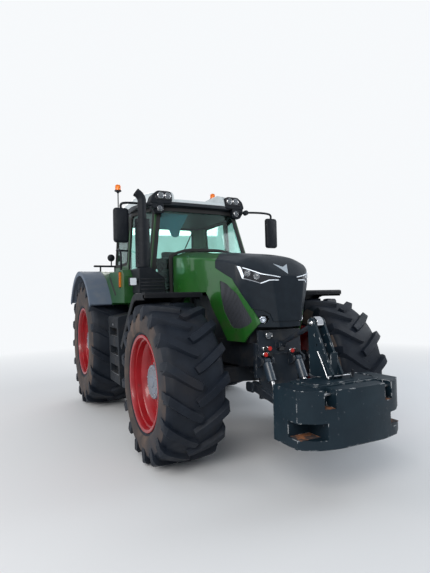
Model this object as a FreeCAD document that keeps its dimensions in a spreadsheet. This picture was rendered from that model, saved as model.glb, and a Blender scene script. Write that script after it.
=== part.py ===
import FreeCAD, Part
import Sketcher
import math
import os

# Farm tractor with a front ballast block, modelled as separate pieces in millimetres.
# Frame: +Z up, floor at z 0, front towards -Y, +X is the tractor's left-hand side.

os.makedirs("parts", exist_ok=True)
doc = FreeCAD.newDocument("FarmTractor")
Vector = FreeCAD.Vector

# Driving dimensions: alias, value, meaning
DIMENSIONS = [
    ("front_axle_y", -1260, "front axle, along the machine"),
    ("wheelbase", 3150, "front axle to rear axle"),
    ("track_front", 2070, "front wheel centre to wheel centre"),
    ("track_rear", 2150, "rear wheel centre to wheel centre"),
    ("front_tyre_radius", 850, "front tyre over its lugs"),
    ("front_tyre_width", 650, "front tyre section width"),
    ("front_rim_radius", 483, "front tyre seat on the rim"),
    ("front_flange_radius", 508, "front rim flange"),
    ("rear_tyre_radius", 1050, "rear tyre over its lugs"),
    ("rear_tyre_width", 750, "rear tyre section width"),
    ("rear_rim_radius", 533, "rear tyre seat on the rim"),
    ("rear_flange_radius", 558, "rear rim flange"),
    ("lug_height", 48, "tyre lug above the tread"),
    ("lug_width", 52, "tyre lug across its run"),
    ("lug_slant", 38, "tyre lug angle in degrees"),
    ("lug_overlap", 18, "lug inner end past the centre line"),
    ("rim_wall", 12, "rim barrel and disc thickness"),
    ("rim_lip", 28, "rim edge beyond the tyre bead"),
    ("bead_play", 9, "tyre bead to rim flange"),
    ("running_gap", 0.06, "radial clearance of a running fit"),
    ("face_gap", 0.3, "clearance between curved faces of two bodies"),
    ("pin_gap", 0.05, "radial clearance of a hinge pin"),
    ("front_disc_out", 110, "front wheel disc seat from the wheel centre"),
    ("front_hub_out", 193, "front hub face from the wheel centre"),
    ("front_hub_radius", 180, "front hub cap"),
    ("front_hub_in", 150, "front hub back face from the wheel centre"),
    ("hub_pilot_radius", 110, "hub pilot through the wheel disc"),
    ("rear_disc_out", 120, "rear wheel disc seat from the wheel centre"),
    ("rear_hub_out", 250, "rear hub face from the wheel centre"),
    ("rear_hub_radius", 165, "rear hub cap"),
    ("rear_hub_in", 190, "rear hub back face from the wheel centre"),
    ("spindle_radius", 60, "front spindle"),
    ("spindle_length", 90, "spindle inside the hub"),
    ("kingpin_x", 720, "steering pivot from the middle"),
    ("kingpin_radius", 45, "steering pivot pin"),
    ("knuckle_radius", 95, "knuckle barrel"),
    ("knuckle_half_height", 150, "knuckle barrel half height"),
    ("beam_half_height", 95, "front axle beam half height"),
    ("beam_half_depth", 110, "front axle beam half depth"),
    ("steer_arm", 190, "steering arm from the pivot"),
    ("steer_arm_drop", 60, "steering rod below the axle"),
    ("steer_rod_radius", 20, "steering rod"),
    ("steer_rod_end", 720, "steering rod eye from the middle"),
    ("fender_inner", 690, "front fender inner edge from the middle"),
    ("fender_outer", 1330, "front fender outer edge from the middle"),
    ("fender_sheet", 12, "fender sheet thickness"),
    ("fender_top", 1800, "front fender top"),
    ("fender_front", -120, "front fender front edge from the axle"),
    ("fender_bend_y", 330, "front fender first bend"),
    ("fender_bend2_y", 500, "front fender second bend"),
    ("fender_bend2_z", 1640, "front fender second bend height"),
    ("fender_bend3_y", 640, "front fender third bend"),
    ("fender_bend3_z", 1500, "front fender third bend height"),
    ("fender_tail_y", 950, "front fender rear end"),
    ("fender_tail_z", 1160, "front fender rear end height"),
    ("frame_half", 240, "front frame half width"),
    ("frame_low", 640, "front frame underside"),
    ("frame_high", 1020, "front frame top"),
    ("frame_front", -1800, "front frame front face"),
    ("engine_half", 245, "engine block half width"),
    ("engine_top", 1760, "engine block top"),
    ("engine_front", -1380, "engine block front face"),
    ("engine_rear", -20, "engine block rear face"),
    ("engine_low", 720, "engine block underside"),
    ("cooler_front", -1740, "cooling pack front face"),
    ("cooler_rear", -1480, "cooling pack rear face"),
    ("cooler_half", 290, "cooling pack half width"),
    ("cooler_low", 1300, "cooling pack underside"),
    ("cooler_top", 1980, "cooling pack top"),
    ("gearbox_half", 250, "gearbox half width"),
    ("gearbox_low", 560, "gearbox underside"),
    ("gearbox_top", 1260, "gearbox top"),
    ("gearbox_rear", 2160, "gearbox rear face"),
    ("lamp_radius", 42, "round work lamp"),
    ("stack_x", -940, "exhaust from the middle"),
    ("stack_y", -60, "exhaust, along the machine"),
    ("stack_radius", 100, "exhaust shroud"),
    ("stack_low", 2160, "exhaust shroud lower end"),
    ("stack_high", 2820, "exhaust shroud upper end"),
    ("pipe_radius", 58, "exhaust pipe"),
    ("pipe_wall", 4, "exhaust pipe wall"),
    ("pipe_bend_z", 3130, "exhaust pipe bend"),
    ("trumpet_radius", 190, "rear axle tube at the gearbox"),
    ("trumpet_end_radius", 135, "rear axle tube at the wheel"),
    ("axle_shaft_radius", 62, "rear axle shaft"),
    ("bonnet_rear", -60, "bonnet rear edge"),
    ("bonnet_half_rear", 505, "bonnet half width at the rear"),
    ("bonnet_half_front", 448, "bonnet half width at the front"),
    ("bonnet_half_low", 340, "bonnet half width at the lower front edge"),
    ("bonnet_top_rear", 2415, "bonnet top at the rear"),
    ("bonnet_top_mid", 2330, "bonnet top half way"),
    ("bonnet_top_front", 2198, "bonnet top at the nose bend"),
    ("bonnet_crown", 95, "rise of the bonnet from its crease to the middle"),
    ("bonnet_sheet", 14, "bonnet panel thickness"),
    ("panel_seam", 0.4, "seam between two bonnet panels"),
    ("nose_bend_y", -1710, "bend from the bonnet top to the nose"),
    ("nose_tip_y", -2055, "foremost point of the bonnet"),
    ("nose_tip_high", 1948, "upper end of the nose face"),
    ("nose_low", 1415, "lower edge of the nose face"),
    ("skirt_low", 1255, "lower edge of the bonnet side panel"),
    ("skirt_front_y", -1705, "lower front corner of the side panel"),
    ("nose_foot_y", -1861, "lower rear corner of the nose"),
    ("skirt_rear_y", -1400, "lower rear corner of the side panel"),
    ("side_low", 1800, "lower edge of the bonnet side behind the panel"),
    ("side_step_y", -1080, "where the side panel meets the lower edge"),
    ("top_split_y", -660, "rear end of the dark top on the middle line"),
    ("top_split_side_y", -1318, "rear end of the dark top at its edge"),
    ("crease_inset", 22, "dark top edge inside the bonnet crease"),
    ("top_split_z", 1895, "lower end of the dark top at the nose"),
    ("bonnet_hinge_y", -80, "bonnet hinge, along the machine"),
    ("bonnet_hinge_z", 2350, "bonnet hinge height"),
    ("bonnet_pin_radius", 9, "bonnet hinge pin"),
    ("cab_floor", 1400, "cab floor underside"),
    ("floor_sheet", 50, "cab floor thickness"),
    ("cab_eave", 3080, "top of the cab frame"),
    ("pillar_foot_x", 800, "front pillar foot from the middle"),
    ("pillar_foot_y", 40, "front pillar foot, along the machine"),
    ("pillar_head_x", 640, "front pillar head from the middle"),
    ("pillar_head_y", 240, "front pillar head, along the machine"),
    ("screen_bow", 50, "forward bow of the windscreen"),
    ("post_foot_x", 900, "middle post foot from the middle"),
    ("post_head_x", 840, "middle post head from the middle"),
    ("post_y", 880, "middle post, along the machine"),
    ("cab_rear", 1800, "cab rear face"),
    ("cab_wall", 40, "cab wall thickness"),
    ("cab_sill", 2190, "lower edge of the windows behind the doors"),
    ("door_sill", 1470, "lower edge of the door"),
    ("door_rail", 45, "door frame width"),
    ("door_play", 12, "gap between the door and its frame"),
    ("glass_sheet", 6, "window glass thickness"),
    ("rear_window_half", 600, "rear window half width"),
    ("cab_tub_half", 620, "cab half width between the rear wheels"),
    ("roof_top", 3400, "roof top"),
    ("roof_front", 150, "roof front edge"),
    ("roof_rear", 1900, "roof rear edge"),
    ("roof_half", 880, "roof half width at the middle"),
    ("roof_half_front", 720, "roof half width at the front"),
    ("arch_radius", 1155, "rear fender underside about the rear axle"),
    ("arch_sheet", 30, "rear fender thickness"),
    ("arch_split", 1150, "fender and its extension meet, from the middle"),
    ("arch_outer", 1480, "fender extension outer edge"),
    ("arch_front_angle", 148, "rear fender front end, degrees from the rear"),
    ("arch_rear_angle", 34, "rear fender rear end, degrees from the rear"),
    ("weight_half", 565, "ballast half width"),
    ("weight_low", 500, "ballast underside"),
    ("weight_high", 970, "ballast top"),
    ("weight_front", -3040, "ballast front face"),
    ("weight_rear", -2420, "ballast carrier rear face"),
    ("weight_back", -2550, "ballast block rear face"),
    ("tower_half", 100, "ballast headstock plates from the middle"),
    ("tower_plate", 25, "headstock plate thickness"),
    ("tower_pin_y", -2470, "headstock pin, along the machine"),
    ("tower_pin_z", 1470, "headstock pin height"),
    ("link_pivot_y", -1760, "front lower link pivot, along the machine"),
    ("link_pivot_z", 780, "front lower link pivot height"),
    ("link_end_y", -2460, "front lower link end, along the machine"),
    ("link_end_z", 750, "front lower link end height"),
    ("link_pivot_x", 270, "front lower link at its pivot from the middle"),
    ("link_end_x", 400, "front lower link at its end from the middle"),
    ("link_plate", 50, "lower link thickness"),
    ("top_pivot_y", -1900, "front top link pivot, along the machine"),
    ("top_pivot_z", 1230, "front top link pivot height"),
    ("lift_x", 200, "front lift cylinder from the middle"),
    ("lift_top_y", -1900, "front lift cylinder upper pin, along the machine"),
    ("lift_top_z", 1060, "front lift cylinder upper pin height"),
    ("lift_low_y", -2060, "front lift cylinder lower pin, along the machine"),
    ("lift_low_z", 740, "front lift cylinder lower pin height"),
    ("lift_radius", 48, "front lift cylinder barrel"),
    ("lift_rod_radius", 22, "front lift cylinder rod"),
    ("pin_radius", 16, "linkage pins"),
    ("rear_link_y", 2140, "rear lower link pivot, along the machine"),
    ("rear_link_z", 640, "rear lower link pivot height"),
    ("rear_link_end_y", 3006, "rear lower link eye, along the machine"),
    ("rear_link_end_z", 560, "rear lower link eye height"),
    ("rear_link_x", 300, "rear lower link pivot from the middle"),
    ("rear_link_end_x", 490, "rear lower link eye from the middle"),
    ("rear_eye_radius", 34, "outside of a rear lower link eye"),
    ("rear_eye_bore", 18.7, "bore of a rear lower link eye"),
    ("rear_eye_half", 22.5, "rear lower link eye half length"),
    ("lift_rod_gap", 42, "lift rod beside the lower link, centre to centre"),
    ("lift_open_gap", 5, "play of the lift rod's upper eye on its pin"),
    ("lift_shaft_radius", 32, "lift arm shaft"),
    ("rear_rod_y", 2560, "lift rod pin on the lower link, along the machine"),
    ("lift_arm_y", 2020, "lift arm shaft, along the machine"),
    ("lift_arm_z", 1330, "lift arm shaft height"),
    ("lift_arm_end_y", 2480, "lift arm end, along the machine"),
    ("lift_arm_end_z", 1280, "lift arm end height"),
    ("lift_arm_x", 395, "lift arm from the middle"),
    ("rear_top_y", 2200, "rear top link pivot, along the machine"),
    ("rear_top_z", 1120, "rear top link pivot height"),
    ("rear_top_end_y", 2975, "rear top link eye, along the machine"),
    ("rear_top_end_z", 1180, "rear top link eye height"),
    ("rear_top_bore", 16, "bore of the rear top link eye"),
    ("open_gap", 15, "play of an eye on a pin that its linkage leaves open"),
    ("pto_radius", 22.2, "rear drive stub"),
    ("pto_length", 89, "rear drive stub length"),
    ("pto_z", 760, "rear drive stub height"),
    ("drawbar_z", 470, "drawbar height"),
    ("drawbar_end_y", 2700, "drawbar pin hole, along the machine"),
    ("drawbar_bore", 20, "drawbar pin hole"),
]


class Size:
    """A length together with its formula, so that a feature can be bound to the sheet."""

    def __init__(self, value, formula):
        self.value = float(value)
        self.formula = formula

    def __add__(self, other):
        other = as_size(other)
        return Size(self.value + other.value, f"({self.formula} + {other.formula})")

    def __radd__(self, other):
        return as_size(other) + self

    def __sub__(self, other):
        other = as_size(other)
        return Size(self.value - other.value, f"({self.formula} - {other.formula})")

    def __rsub__(self, other):
        return as_size(other) - self

    def __mul__(self, other):
        other = as_size(other)
        return Size(self.value * other.value, f"({self.formula} * {other.formula})")

    def __rmul__(self, other):
        return self * other

    def __truediv__(self, other):
        other = as_size(other)
        return Size(self.value / other.value, f"({self.formula} / {other.formula})")

    def __neg__(self):
        return as_size(0) - self


def as_size(value):
    if isinstance(value, Size):
        return value
    return Size(value, f"({round(float(value), 6)})")


def cosine(angle):
    angle = as_size(angle)
    return Size(math.cos(math.radians(angle.value)), f"cos({angle.formula})")


def sine(angle):
    angle = as_size(angle)
    return Size(math.sin(math.radians(angle.value)), f"sin({angle.formula})")


def root(value):
    return Size(math.sqrt(value.value), f"sqrt({value.formula})")


def distance(across, along):
    return root(across * across + along * along)


def direction(across, along):
    """The angle in degrees of a line that runs by these two distances."""
    across, along = as_size(across), as_size(along)
    angle = math.degrees(math.atan2(along.value, across.value))
    return Size(angle, f"atan2({along.formula}; {across.formula})")


class SizeTable:
    pass


def fill_sheet(rows):
    """Writes the driving dimensions to the sheet and hands them out by name."""
    sheet = doc.addObject("Spreadsheet::Sheet", "Sizes")
    table = SizeTable()
    for number, (alias, value, meaning) in enumerate(rows, start=1):
        sheet.set(f"A{number}", str(value))
        sheet.set(f"B{number}", meaning)
        sheet.setAlias(f"A{number}", alias)
        setattr(table, alias, Size(value, f"Sizes.{alias}"))
    doc.recompute()
    return table


size = fill_sheet(DIMENSIONS)
rear_axle_y = size.front_axle_y + size.wheelbase


class Bow:
    """An arc between two corners of an outline, with its centre on the left or the right of the way."""

    def __init__(self, radius, centre_left=True):
        self.radius = as_size(radius)
        self.centre_left = centre_left


def dimension(sketch, kind, ends, length):
    number = sketch.addConstraint(Sketcher.Constraint(kind, *ends, length.value))
    sketch.setExpression(f"Constraints[{number}]", length.formula)


def hold_point(sketch, geometry, point, across, along):
    dimension(sketch, "DistanceX", (-1, 1, geometry, point), across)
    dimension(sketch, "DistanceY", (-1, 1, geometry, point), along)


def draw_arc(sketch, start, end, radius, centre_left):
    """Adds an arc from start to end and says which of its points is which."""
    chord = end - start
    half = chord.Length / 2
    rise = math.sqrt(max(radius * radius - half * half, 0))
    side = Vector(-chord.y, chord.x, 0).normalize() * (rise if centre_left else -rise)
    centre = start + chord * 0.5 + side
    first, last = (start, end) if centre_left else (end, start)
    angles = [math.atan2(p.y - centre.y, p.x - centre.x) for p in (first, last)]
    if angles[1] < angles[0]:
        angles[1] += 2 * math.pi
    circle = Part.Circle(centre, Vector(0, 0, 1), radius)
    number = sketch.addGeometry(Part.ArcOfCircle(circle, *angles), False)
    return (number, 1, 2) if centre_left else (number, 2, 1)


def draw_loop(sketch, corners):
    """Draws a closed line through corners (u, v) or (u, v, radius), with a Bow where an arc runs."""
    knots, bows = [], {}
    for item in corners:
        if isinstance(item, Bow):
            bows[len(knots) - 1] = item
        else:
            knots.append([as_size(part) for part in item])
    count = len(knots)
    places = [Vector(knot[0].value, knot[1].value, 0) for knot in knots]
    ways = [(places[(i + 1) % count] - places[i]).normalize() for i in range(count)]
    trims = []
    for i, knot in enumerate(knots):
        turn = ways[i - 1].getAngle(ways[i])
        trims.append(knot[2].value * math.tan(turn / 2) if len(knot) > 2 else 0)
    edges = []
    for i in range(count):
        after = (i + 1) % count
        start = places[i] + ways[i] * trims[i]
        end = places[after] - ways[i] * trims[after]
        if i in bows:
            edge = draw_arc(sketch, start, end, bows[i].radius.value, bows[i].centre_left)
            dimension(sketch, "Radius", (edge[0],), bows[i].radius)
        else:
            edge = (sketch.addGeometry(Part.LineSegment(start, end), False), 1, 2)
        edges.append(edge)
    for i, knot in enumerate(knots):
        before, here = edges[i - 1], edges[i]
        if len(knot) == 2:
            joint = Sketcher.Constraint("Coincident", before[0], before[2], here[0], here[1])
            sketch.addConstraint(joint)
            hold_point(sketch, here[0], here[1], knot[0], knot[1])
            continue
        start = places[i] - ways[i - 1] * trims[i]
        end = places[i] + ways[i] * trims[i]
        turns_left = (ways[i - 1].x * ways[i].y - ways[i - 1].y * ways[i].x) > 0
        arc = draw_arc(sketch, start, end, knot[2].value, turns_left)
        corner = sketch.addGeometry(Part.Point(places[i]), True)
        for constraint in (
            Sketcher.Constraint("Tangent", before[0], before[2], arc[0], arc[1]),
            Sketcher.Constraint("Tangent", arc[0], arc[2], here[0], here[1]),
            Sketcher.Constraint("PointOnObject", corner, 1, before[0]),
            Sketcher.Constraint("PointOnObject", corner, 1, here[0]),
        ):
            sketch.addConstraint(constraint)
        dimension(sketch, "Radius", (arc[0],), knot[2])
        hold_point(sketch, corner, 1, knot[0], knot[1])


def draw_circle(sketch, across, along, radius):
    across, along, radius = as_size(across), as_size(along), as_size(radius)
    circle = Part.Circle(Vector(across.value, along.value, 0), Vector(0, 0, 1), radius.value)
    number = sketch.addGeometry(circle, False)
    dimension(sketch, "Radius", (number,), radius)
    hold_point(sketch, number, 3, across, along)


def box_outline(left, right, low, high, corner=None):
    ends = [(left, low), (right, low), (right, high), (left, high)]
    if corner is None:
        return ends
    return [end + (corner,) for end in ends]


# Where an axis looks: origin plane, sign of its normal, and the revolve axis of a turned profile
PLANES = {"x": ("YZ_Plane", 1), "y": ("XZ_Plane", -1), "z": ("XY_Plane", 1)}
pieces = []


class Piece:
    """One sub-part: a body whose features are drawn in the machine's own frame or about its place."""

    def __init__(self, name, place=None):
        self.body = doc.addObject("PartDesign::Body", name)
        self.body.Label = name
        self.name = name
        self.count = 0
        if place is not None:
            for axis, value in zip("xyz", place):
                self.body.setExpression(f"Placement.Base.{axis}", as_size(value).formula)
        pieces.append(self)

    def add(self, kind, word):
        self.count += 1
        return self.body.newObject(kind, f"{self.name}_{word}{self.count}")

    def origin(self, role):
        return next(item for item in self.body.Origin.OriginFeatures if item.Role == role)

    def sketch(self, role, base):
        drawing = self.add("Sketcher::SketchObject", "outline")
        drawing.AttachmentSupport = [(self.origin(role), "")]
        drawing.MapMode = "FlatFace"
        for axis, value in zip("xyz", base):
            drawing.setExpression(f"AttachmentOffset.Base.{axis}", as_size(value).formula)
        return drawing

    def draw(self, axis, at, loops, circles):
        role, sign = PLANES[axis]
        drawing = self.sketch(role, (0, 0, as_size(at) * sign))
        for loop in loops:
            draw_loop(drawing, loop)
        for circle in circles:
            draw_circle(drawing, *circle)
        return drawing

    def pad(self, axis, start, stop, *loops, circles=()):
        """Extrudes an outline along an axis from start to stop."""
        start, stop = sorted((as_size(start), as_size(stop)), key=lambda one: one.value)
        base = start if PLANES[axis][1] > 0 else stop
        feature = self.add("PartDesign::Pad", "pad")
        feature.Profile = self.draw(axis, base, loops, circles)
        feature.setExpression("Length", (stop - start).formula)
        return feature

    def cut(self, axis, start, stop, *loops, circles=()):
        """Removes an outline along an axis from start to stop."""
        start, stop = sorted((as_size(start), as_size(stop)), key=lambda one: one.value)
        base = stop if PLANES[axis][1] > 0 else start
        feature = self.add("PartDesign::Pocket", "cut")
        feature.Profile = self.draw(axis, base, loops, circles)
        feature.setExpression("Length", (stop - start).formula)
        return feature

    def box(self, left, right, front, rear, low, high):
        return self.pad("z", low, high, box_outline(left, right, front, rear))

    def disc(self, axis, start, stop, centre, radius, bore=None):
        circles = [(*centre, radius)]
        if bore is not None:
            circles.append((*centre, bore))
        return self.pad(axis, start, stop, circles=circles)

    def hole(self, axis, start, stop, centre, radius):
        return self.cut(axis, start, stop, circles=[(*centre, radius)])

    def turn(self, axis, centre, outline, kind="PartDesign::Revolution"):
        """Turns an outline about an axis through centre; its points are (along, radius)."""
        across, along = as_size(centre[0]), as_size(centre[1])
        if axis == "x":
            drawing = self.sketch("XY_Plane", (0, across, along))
            line = "H_Axis"
        elif axis == "y":
            drawing = self.sketch("YZ_Plane", (0, along, across))
            line = "H_Axis"
        else:
            drawing = self.sketch("XZ_Plane", (across, 0, -along))
            line = "V_Axis"
            outline = [(item[1], item[0]) + tuple(item[2:]) for item in outline]
        draw_loop(drawing, outline)
        feature = self.add(kind, "turn")
        feature.Profile = drawing
        feature.ReferenceAxis = (drawing, [line])
        feature.Angle = 360
        return feature

    def groove(self, axis, centre, outline):
        return self.turn(axis, centre, outline, "PartDesign::Groove")

    def loft(self, axis, sections, kind="PartDesign::AdditiveLoft"):
        """Joins outlines that stand one behind the other along an axis with straight faces."""
        drawings = [self.draw(axis, at, [outline], ()) for at, outline in sections]
        feature = self.add(kind, "loft")
        feature.Profile = drawings[0]
        feature.Sections = drawings[1:]
        feature.Ruled = True
        return feature

    def hollow(self, axis, sections):
        return self.loft(axis, sections, "PartDesign::SubtractiveLoft")

    def rod(self, at, start, end, radius, kind="PartDesign::AdditiveCylinder"):
        """A round bar in the plane x = at, from (y, z) to (y, z)."""
        rise = [as_size(end[k]) - as_size(start[k]) for k in (0, 1)]
        feature = self.add(kind, "rod")
        feature.setExpression("Radius", as_size(radius).formula)
        feature.setExpression("Height", distance(*rise).formula)
        feature.Placement = FreeCAD.Placement(Vector(), FreeCAD.Rotation(Vector(1, 0, 0), 1))
        for axis, value in zip("xyz", (at, *start)):
            feature.setExpression(f"Placement.Base.{axis}", as_size(value).formula)
        feature.setExpression("Placement.Rotation.Angle", direction(rise[1], -rise[0]).formula)
        return feature

    def tube(self, axis, at, path, radius, wall=None):
        """Sweeps a round section along a line of runs and arcs in a plane across an axis."""
        role, sign = PLANES[axis]
        spine = self.sketch(role, (0, 0, as_size(at) * sign))
        draw_path(spine, path)
        section = self.add("Sketcher::SketchObject", "section")
        section.AttachmentSupport = [(spine, "Edge1"), (spine, "Vertex1")]
        section.MapMode = "NormalToEdge"
        draw_circle(section, 0, 0, radius)
        if wall is not None:
            draw_circle(section, 0, 0, as_size(radius) - wall)
        feature = self.add("PartDesign::AdditivePipe", "sweep")
        feature.Profile = section
        feature.Spine = (spine, [])
        return feature

    def mirror(self, *features, role="YZ_Plane"):
        feature = self.add("PartDesign::Mirrored", "mirror")
        feature.Originals = list(features)
        feature.MirrorPlane = (self.origin(role), [""])
        self.body.Tip = feature
        return feature

    def fan(self, count, *features, role="X_Axis"):
        feature = self.add("PartDesign::PolarPattern", "fan")
        feature.Originals = list(features)
        feature.Axis = (self.origin(role), [""])
        feature.Angle = 360
        feature.setExpression("Occurrences", as_size(count).formula)
        self.body.Tip = feature
        return feature

    def row(self, role, count, length, *features):
        feature = self.add("PartDesign::LinearPattern", "row")
        feature.Originals = list(features)
        feature.Direction = (self.origin(role), [""])
        feature.setExpression("Length", as_size(length).formula)
        feature.setExpression("Occurrences", as_size(count).formula)
        self.body.Tip = feature
        return feature


def draw_path(sketch, path):
    """Draws an open line through points (u, v), rounded at the middle points (u, v, radius)."""
    knots = [[as_size(part) for part in item] for item in path]
    places = [Vector(knot[0].value, knot[1].value, 0) for knot in knots]
    last = len(knots) - 1
    ways = [(places[i + 1] - places[i]).normalize() for i in range(last)]
    trims = [0]
    for i in range(1, last):
        trims.append(knots[i][2].value * math.tan(ways[i - 1].getAngle(ways[i]) / 2))
    trims.append(0)
    runs = []
    for i in range(last):
        start = places[i] + ways[i] * trims[i]
        end = places[i + 1] - ways[i] * trims[i + 1]
        runs.append(sketch.addGeometry(Part.LineSegment(start, end), False))
    hold_point(sketch, runs[0], 1, knots[0][0], knots[0][1])
    hold_point(sketch, runs[-1], 2, knots[-1][0], knots[-1][1])
    for i in range(1, last):
        turns_left = (ways[i - 1].x * ways[i].y - ways[i - 1].y * ways[i].x) > 0
        start = places[i] - ways[i - 1] * trims[i]
        end = places[i] + ways[i] * trims[i]
        arc = draw_arc(sketch, start, end, knots[i][2].value, turns_left)
        corner = sketch.addGeometry(Part.Point(places[i]), True)
        for constraint in (
            Sketcher.Constraint("Tangent", runs[i - 1], 2, arc[0], arc[1]),
            Sketcher.Constraint("Tangent", arc[0], arc[2], runs[i], 1),
            Sketcher.Constraint("PointOnObject", corner, 1, runs[i - 1]),
            Sketcher.Constraint("PointOnObject", corner, 1, runs[i]),
        ):
            sketch.addConstraint(constraint)
        dimension(sketch, "Radius", (arc[0],), knots[i][2])
        hold_point(sketch, corner, 1, knots[i][0], knots[i][1])


SIDES = (("right", -1), ("left", 1))


FRONT_LUGS = 17
REAR_LUGS = 17


class Extra:
    """A sub-part that is an object of the Part workbench instead of a body."""

    def __init__(self, name, kind, **settings):
        self.body = doc.addObject(kind, name)
        self.body.Label = name
        self.name = name
        for setting, value in settings.items():
            setattr(self.body, setting, value)
        pieces.append(self)


# Tyres: a carcass of flat facets, one to each lug, with slanted lugs that run over the shoulder

def carcass_solid(profile, facets):
    """A closed ring of flat faces from a closed profile of (across, radius) corners."""
    step = 360.0 / facets
    rings = []
    for number in range(facets):
        angle = math.radians(step * (number + 0.5))
        rings.append([Vector(x, r * math.cos(angle), r * math.sin(angle)) for x, r in profile])
    faces = []
    for number, ring in enumerate(rings):
        after = rings[(number + 1) % facets]
        for k in range(len(profile)):
            corners = [ring[k - 1], after[k - 1], after[k], ring[k]]
            faces.append(Part.Face(Part.makePolygon(corners + corners[:1])))
    solid = Part.makeSolid(Part.makeShell(faces))
    if solid.Volume < 0:
        solid.reverse()
    return solid


def lug_solid(outline, middle, angle):
    """A slanted bar on the tread, its outline drawn along the lug and away from the axle."""
    half = size.lug_width.value / 2
    corners = [Vector(along, -half, away) for along, away in outline]
    face = Part.Face(Part.makePolygon(corners + corners[:1]))
    bar = face.extrude(Vector(0, 2 * half, 0))
    bar.rotate(Vector(), Vector(0, 0, 1), size.lug_slant.value)
    bar.translate(Vector(middle, 0, 0))
    if angle[0] < 0:
        bar = bar.mirror(Vector(), Vector(1, 0, 0))
    bar.rotate(Vector(), Vector(1, 0, 0), angle[1])
    return bar


def tyre_solid(radius, width, seat, lug_count):
    facets = 2 * lug_count
    flat = math.cos(math.pi / facets)
    half = width / 2
    bead = seat / flat
    tread = radius - size.lug_height.value
    belly = bead + (tread - bead) * 0.55
    side = [(half * 0.84, bead), (half, belly), (half * 0.86, tread)]
    profile = side + [(-across, away) for across, away in reversed(side)]
    slant = math.radians(size.lug_slant.value)
    inner = -size.lug_overlap.value
    outer = half - size.lug_width.value / 2 * math.sin(slant)
    run = (outer - inner) / math.cos(slant)
    spread = run / 2 * math.sin(slant) + size.lug_width.value / 2 * math.cos(slant)
    end_height = math.sqrt(radius ** 2 - spread ** 2)
    outline = [
        (-run / 2, tread * flat - spread * 0.25),
        (-run / 2, end_height),
        (run / 2, end_height),
        (run / 2, belly + (tread - belly) * 0.35),
        (run / 2 - 70, tread - 90),
    ]
    lugs = []
    for number in range(facets):
        turn = 360.0 / facets * number
        lugs.append(lug_solid(outline, (inner + outer) / 2, (1 if number % 2 else -1, turn)))
    return carcass_solid(profile, facets).fuse(lugs).removeSplitter()


# Wheel discs and hubs, turned about the wheel's own axis; way is +1 on the left of the machine

def make_rim(name, place, way, width, seat, flange, disc_out, hub_radius):
    rim = Piece(name, place)
    wall = size.rim_wall
    edge = width / 2 * 0.84 + size.rim_lip
    seat_end = width / 2 * 0.84 + size.bead_play
    neck = hub_radius + 55
    outline = [
        (-edge, flange),
        (-seat_end, flange),
        (-seat_end, seat),
        (seat_end, seat),
        (seat_end, flange),
        (edge, flange),
        (edge, seat - wall),
        (seat_end * 0.55, seat - wall * 2.5),
        (disc_out - 70, seat * 0.84),
        (disc_out + wall, neck),
        (disc_out + wall, size.hub_pilot_radius),
        (disc_out, size.hub_pilot_radius),
        (disc_out, neck),
        (disc_out - 85, seat * 0.86),
        (0, seat - wall * 3),
        (-edge, seat - wall),
    ]
    rim.turn("x", (0, 0), [(along * way, away) for along, away in outline])
    return rim


def make_hub(name, place, way, back, disc_out, face, cap_radius, bore, bore_depth):
    hub = Piece(name, place)
    seat = disc_out + size.rim_wall
    outline = [
        (-back, bore),
        (-back, cap_radius - 20),
        (-back + 60, cap_radius + 20),
        (disc_out, cap_radius + 40),
        (disc_out, size.hub_pilot_radius),
        (seat, size.hub_pilot_radius),
        (seat, cap_radius),
        (face - 15, cap_radius),
        (face, cap_radius - 20),
        (face, cap_radius * 0.55),
        (face + 22, cap_radius * 0.45),
        (face + 22, 0),
        (-back + bore_depth, 0),
        (-back + bore_depth, bore),
    ]
    hub.turn("x", (0, 0), [(along * way, away) for along, away in outline])
    return hub


def wheel_place(way, track, axle_y, radius):
    return (track / 2 * way, axle_y, radius)


WHEELS = [
    # end, track, axle y, tyre radius, tyre width, rim radius, flange radius, lugs
    ("front", size.track_front, size.front_axle_y, size.front_tyre_radius, size.front_tyre_width,
     size.front_rim_radius, size.front_flange_radius, FRONT_LUGS),
    ("rear", size.track_rear, rear_axle_y, size.rear_tyre_radius, size.rear_tyre_width,
     size.rear_rim_radius, size.rear_flange_radius, REAR_LUGS),
]
HUBS = {
    # end: disc seat, hub face, cap radius, hub back, shaft radius, bore depth
    "front": (size.front_disc_out, size.front_hub_out, size.front_hub_radius, size.front_hub_in,
              size.spindle_radius, size.spindle_length + 5),
    "rear": (size.rear_disc_out, size.rear_hub_out, size.rear_hub_radius, size.rear_hub_in,
             size.axle_shaft_radius, size.spindle_length + 25),
}
for end, track, axle_y, radius, width, seat, flange, lug_count in WHEELS:
    disc_out, face, cap_radius, back, shaft, depth = HUBS[end]
    rubber = tyre_solid(radius.value, width.value, seat.value, lug_count)
    for side, way in SIDES:
        place = wheel_place(way, track, axle_y, radius)
        corner = Vector(*(one.value for one in place))
        Extra(f"tyre_{end}_{side}", "Part::Feature", Shape=rubber,
              Placement=FreeCAD.Placement(corner, FreeCAD.Rotation()))
        make_rim(f"rim_{end}_{side}", place, way, width, seat, flange, disc_out, cap_radius)
        make_hub(f"hub_{end}_{side}", place, way, back, disc_out, face, cap_radius,
                 shaft + size.running_gap, depth)


# Steering: knuckles that carry the front wheels and fenders, turning on pins in the axle's forks

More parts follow.
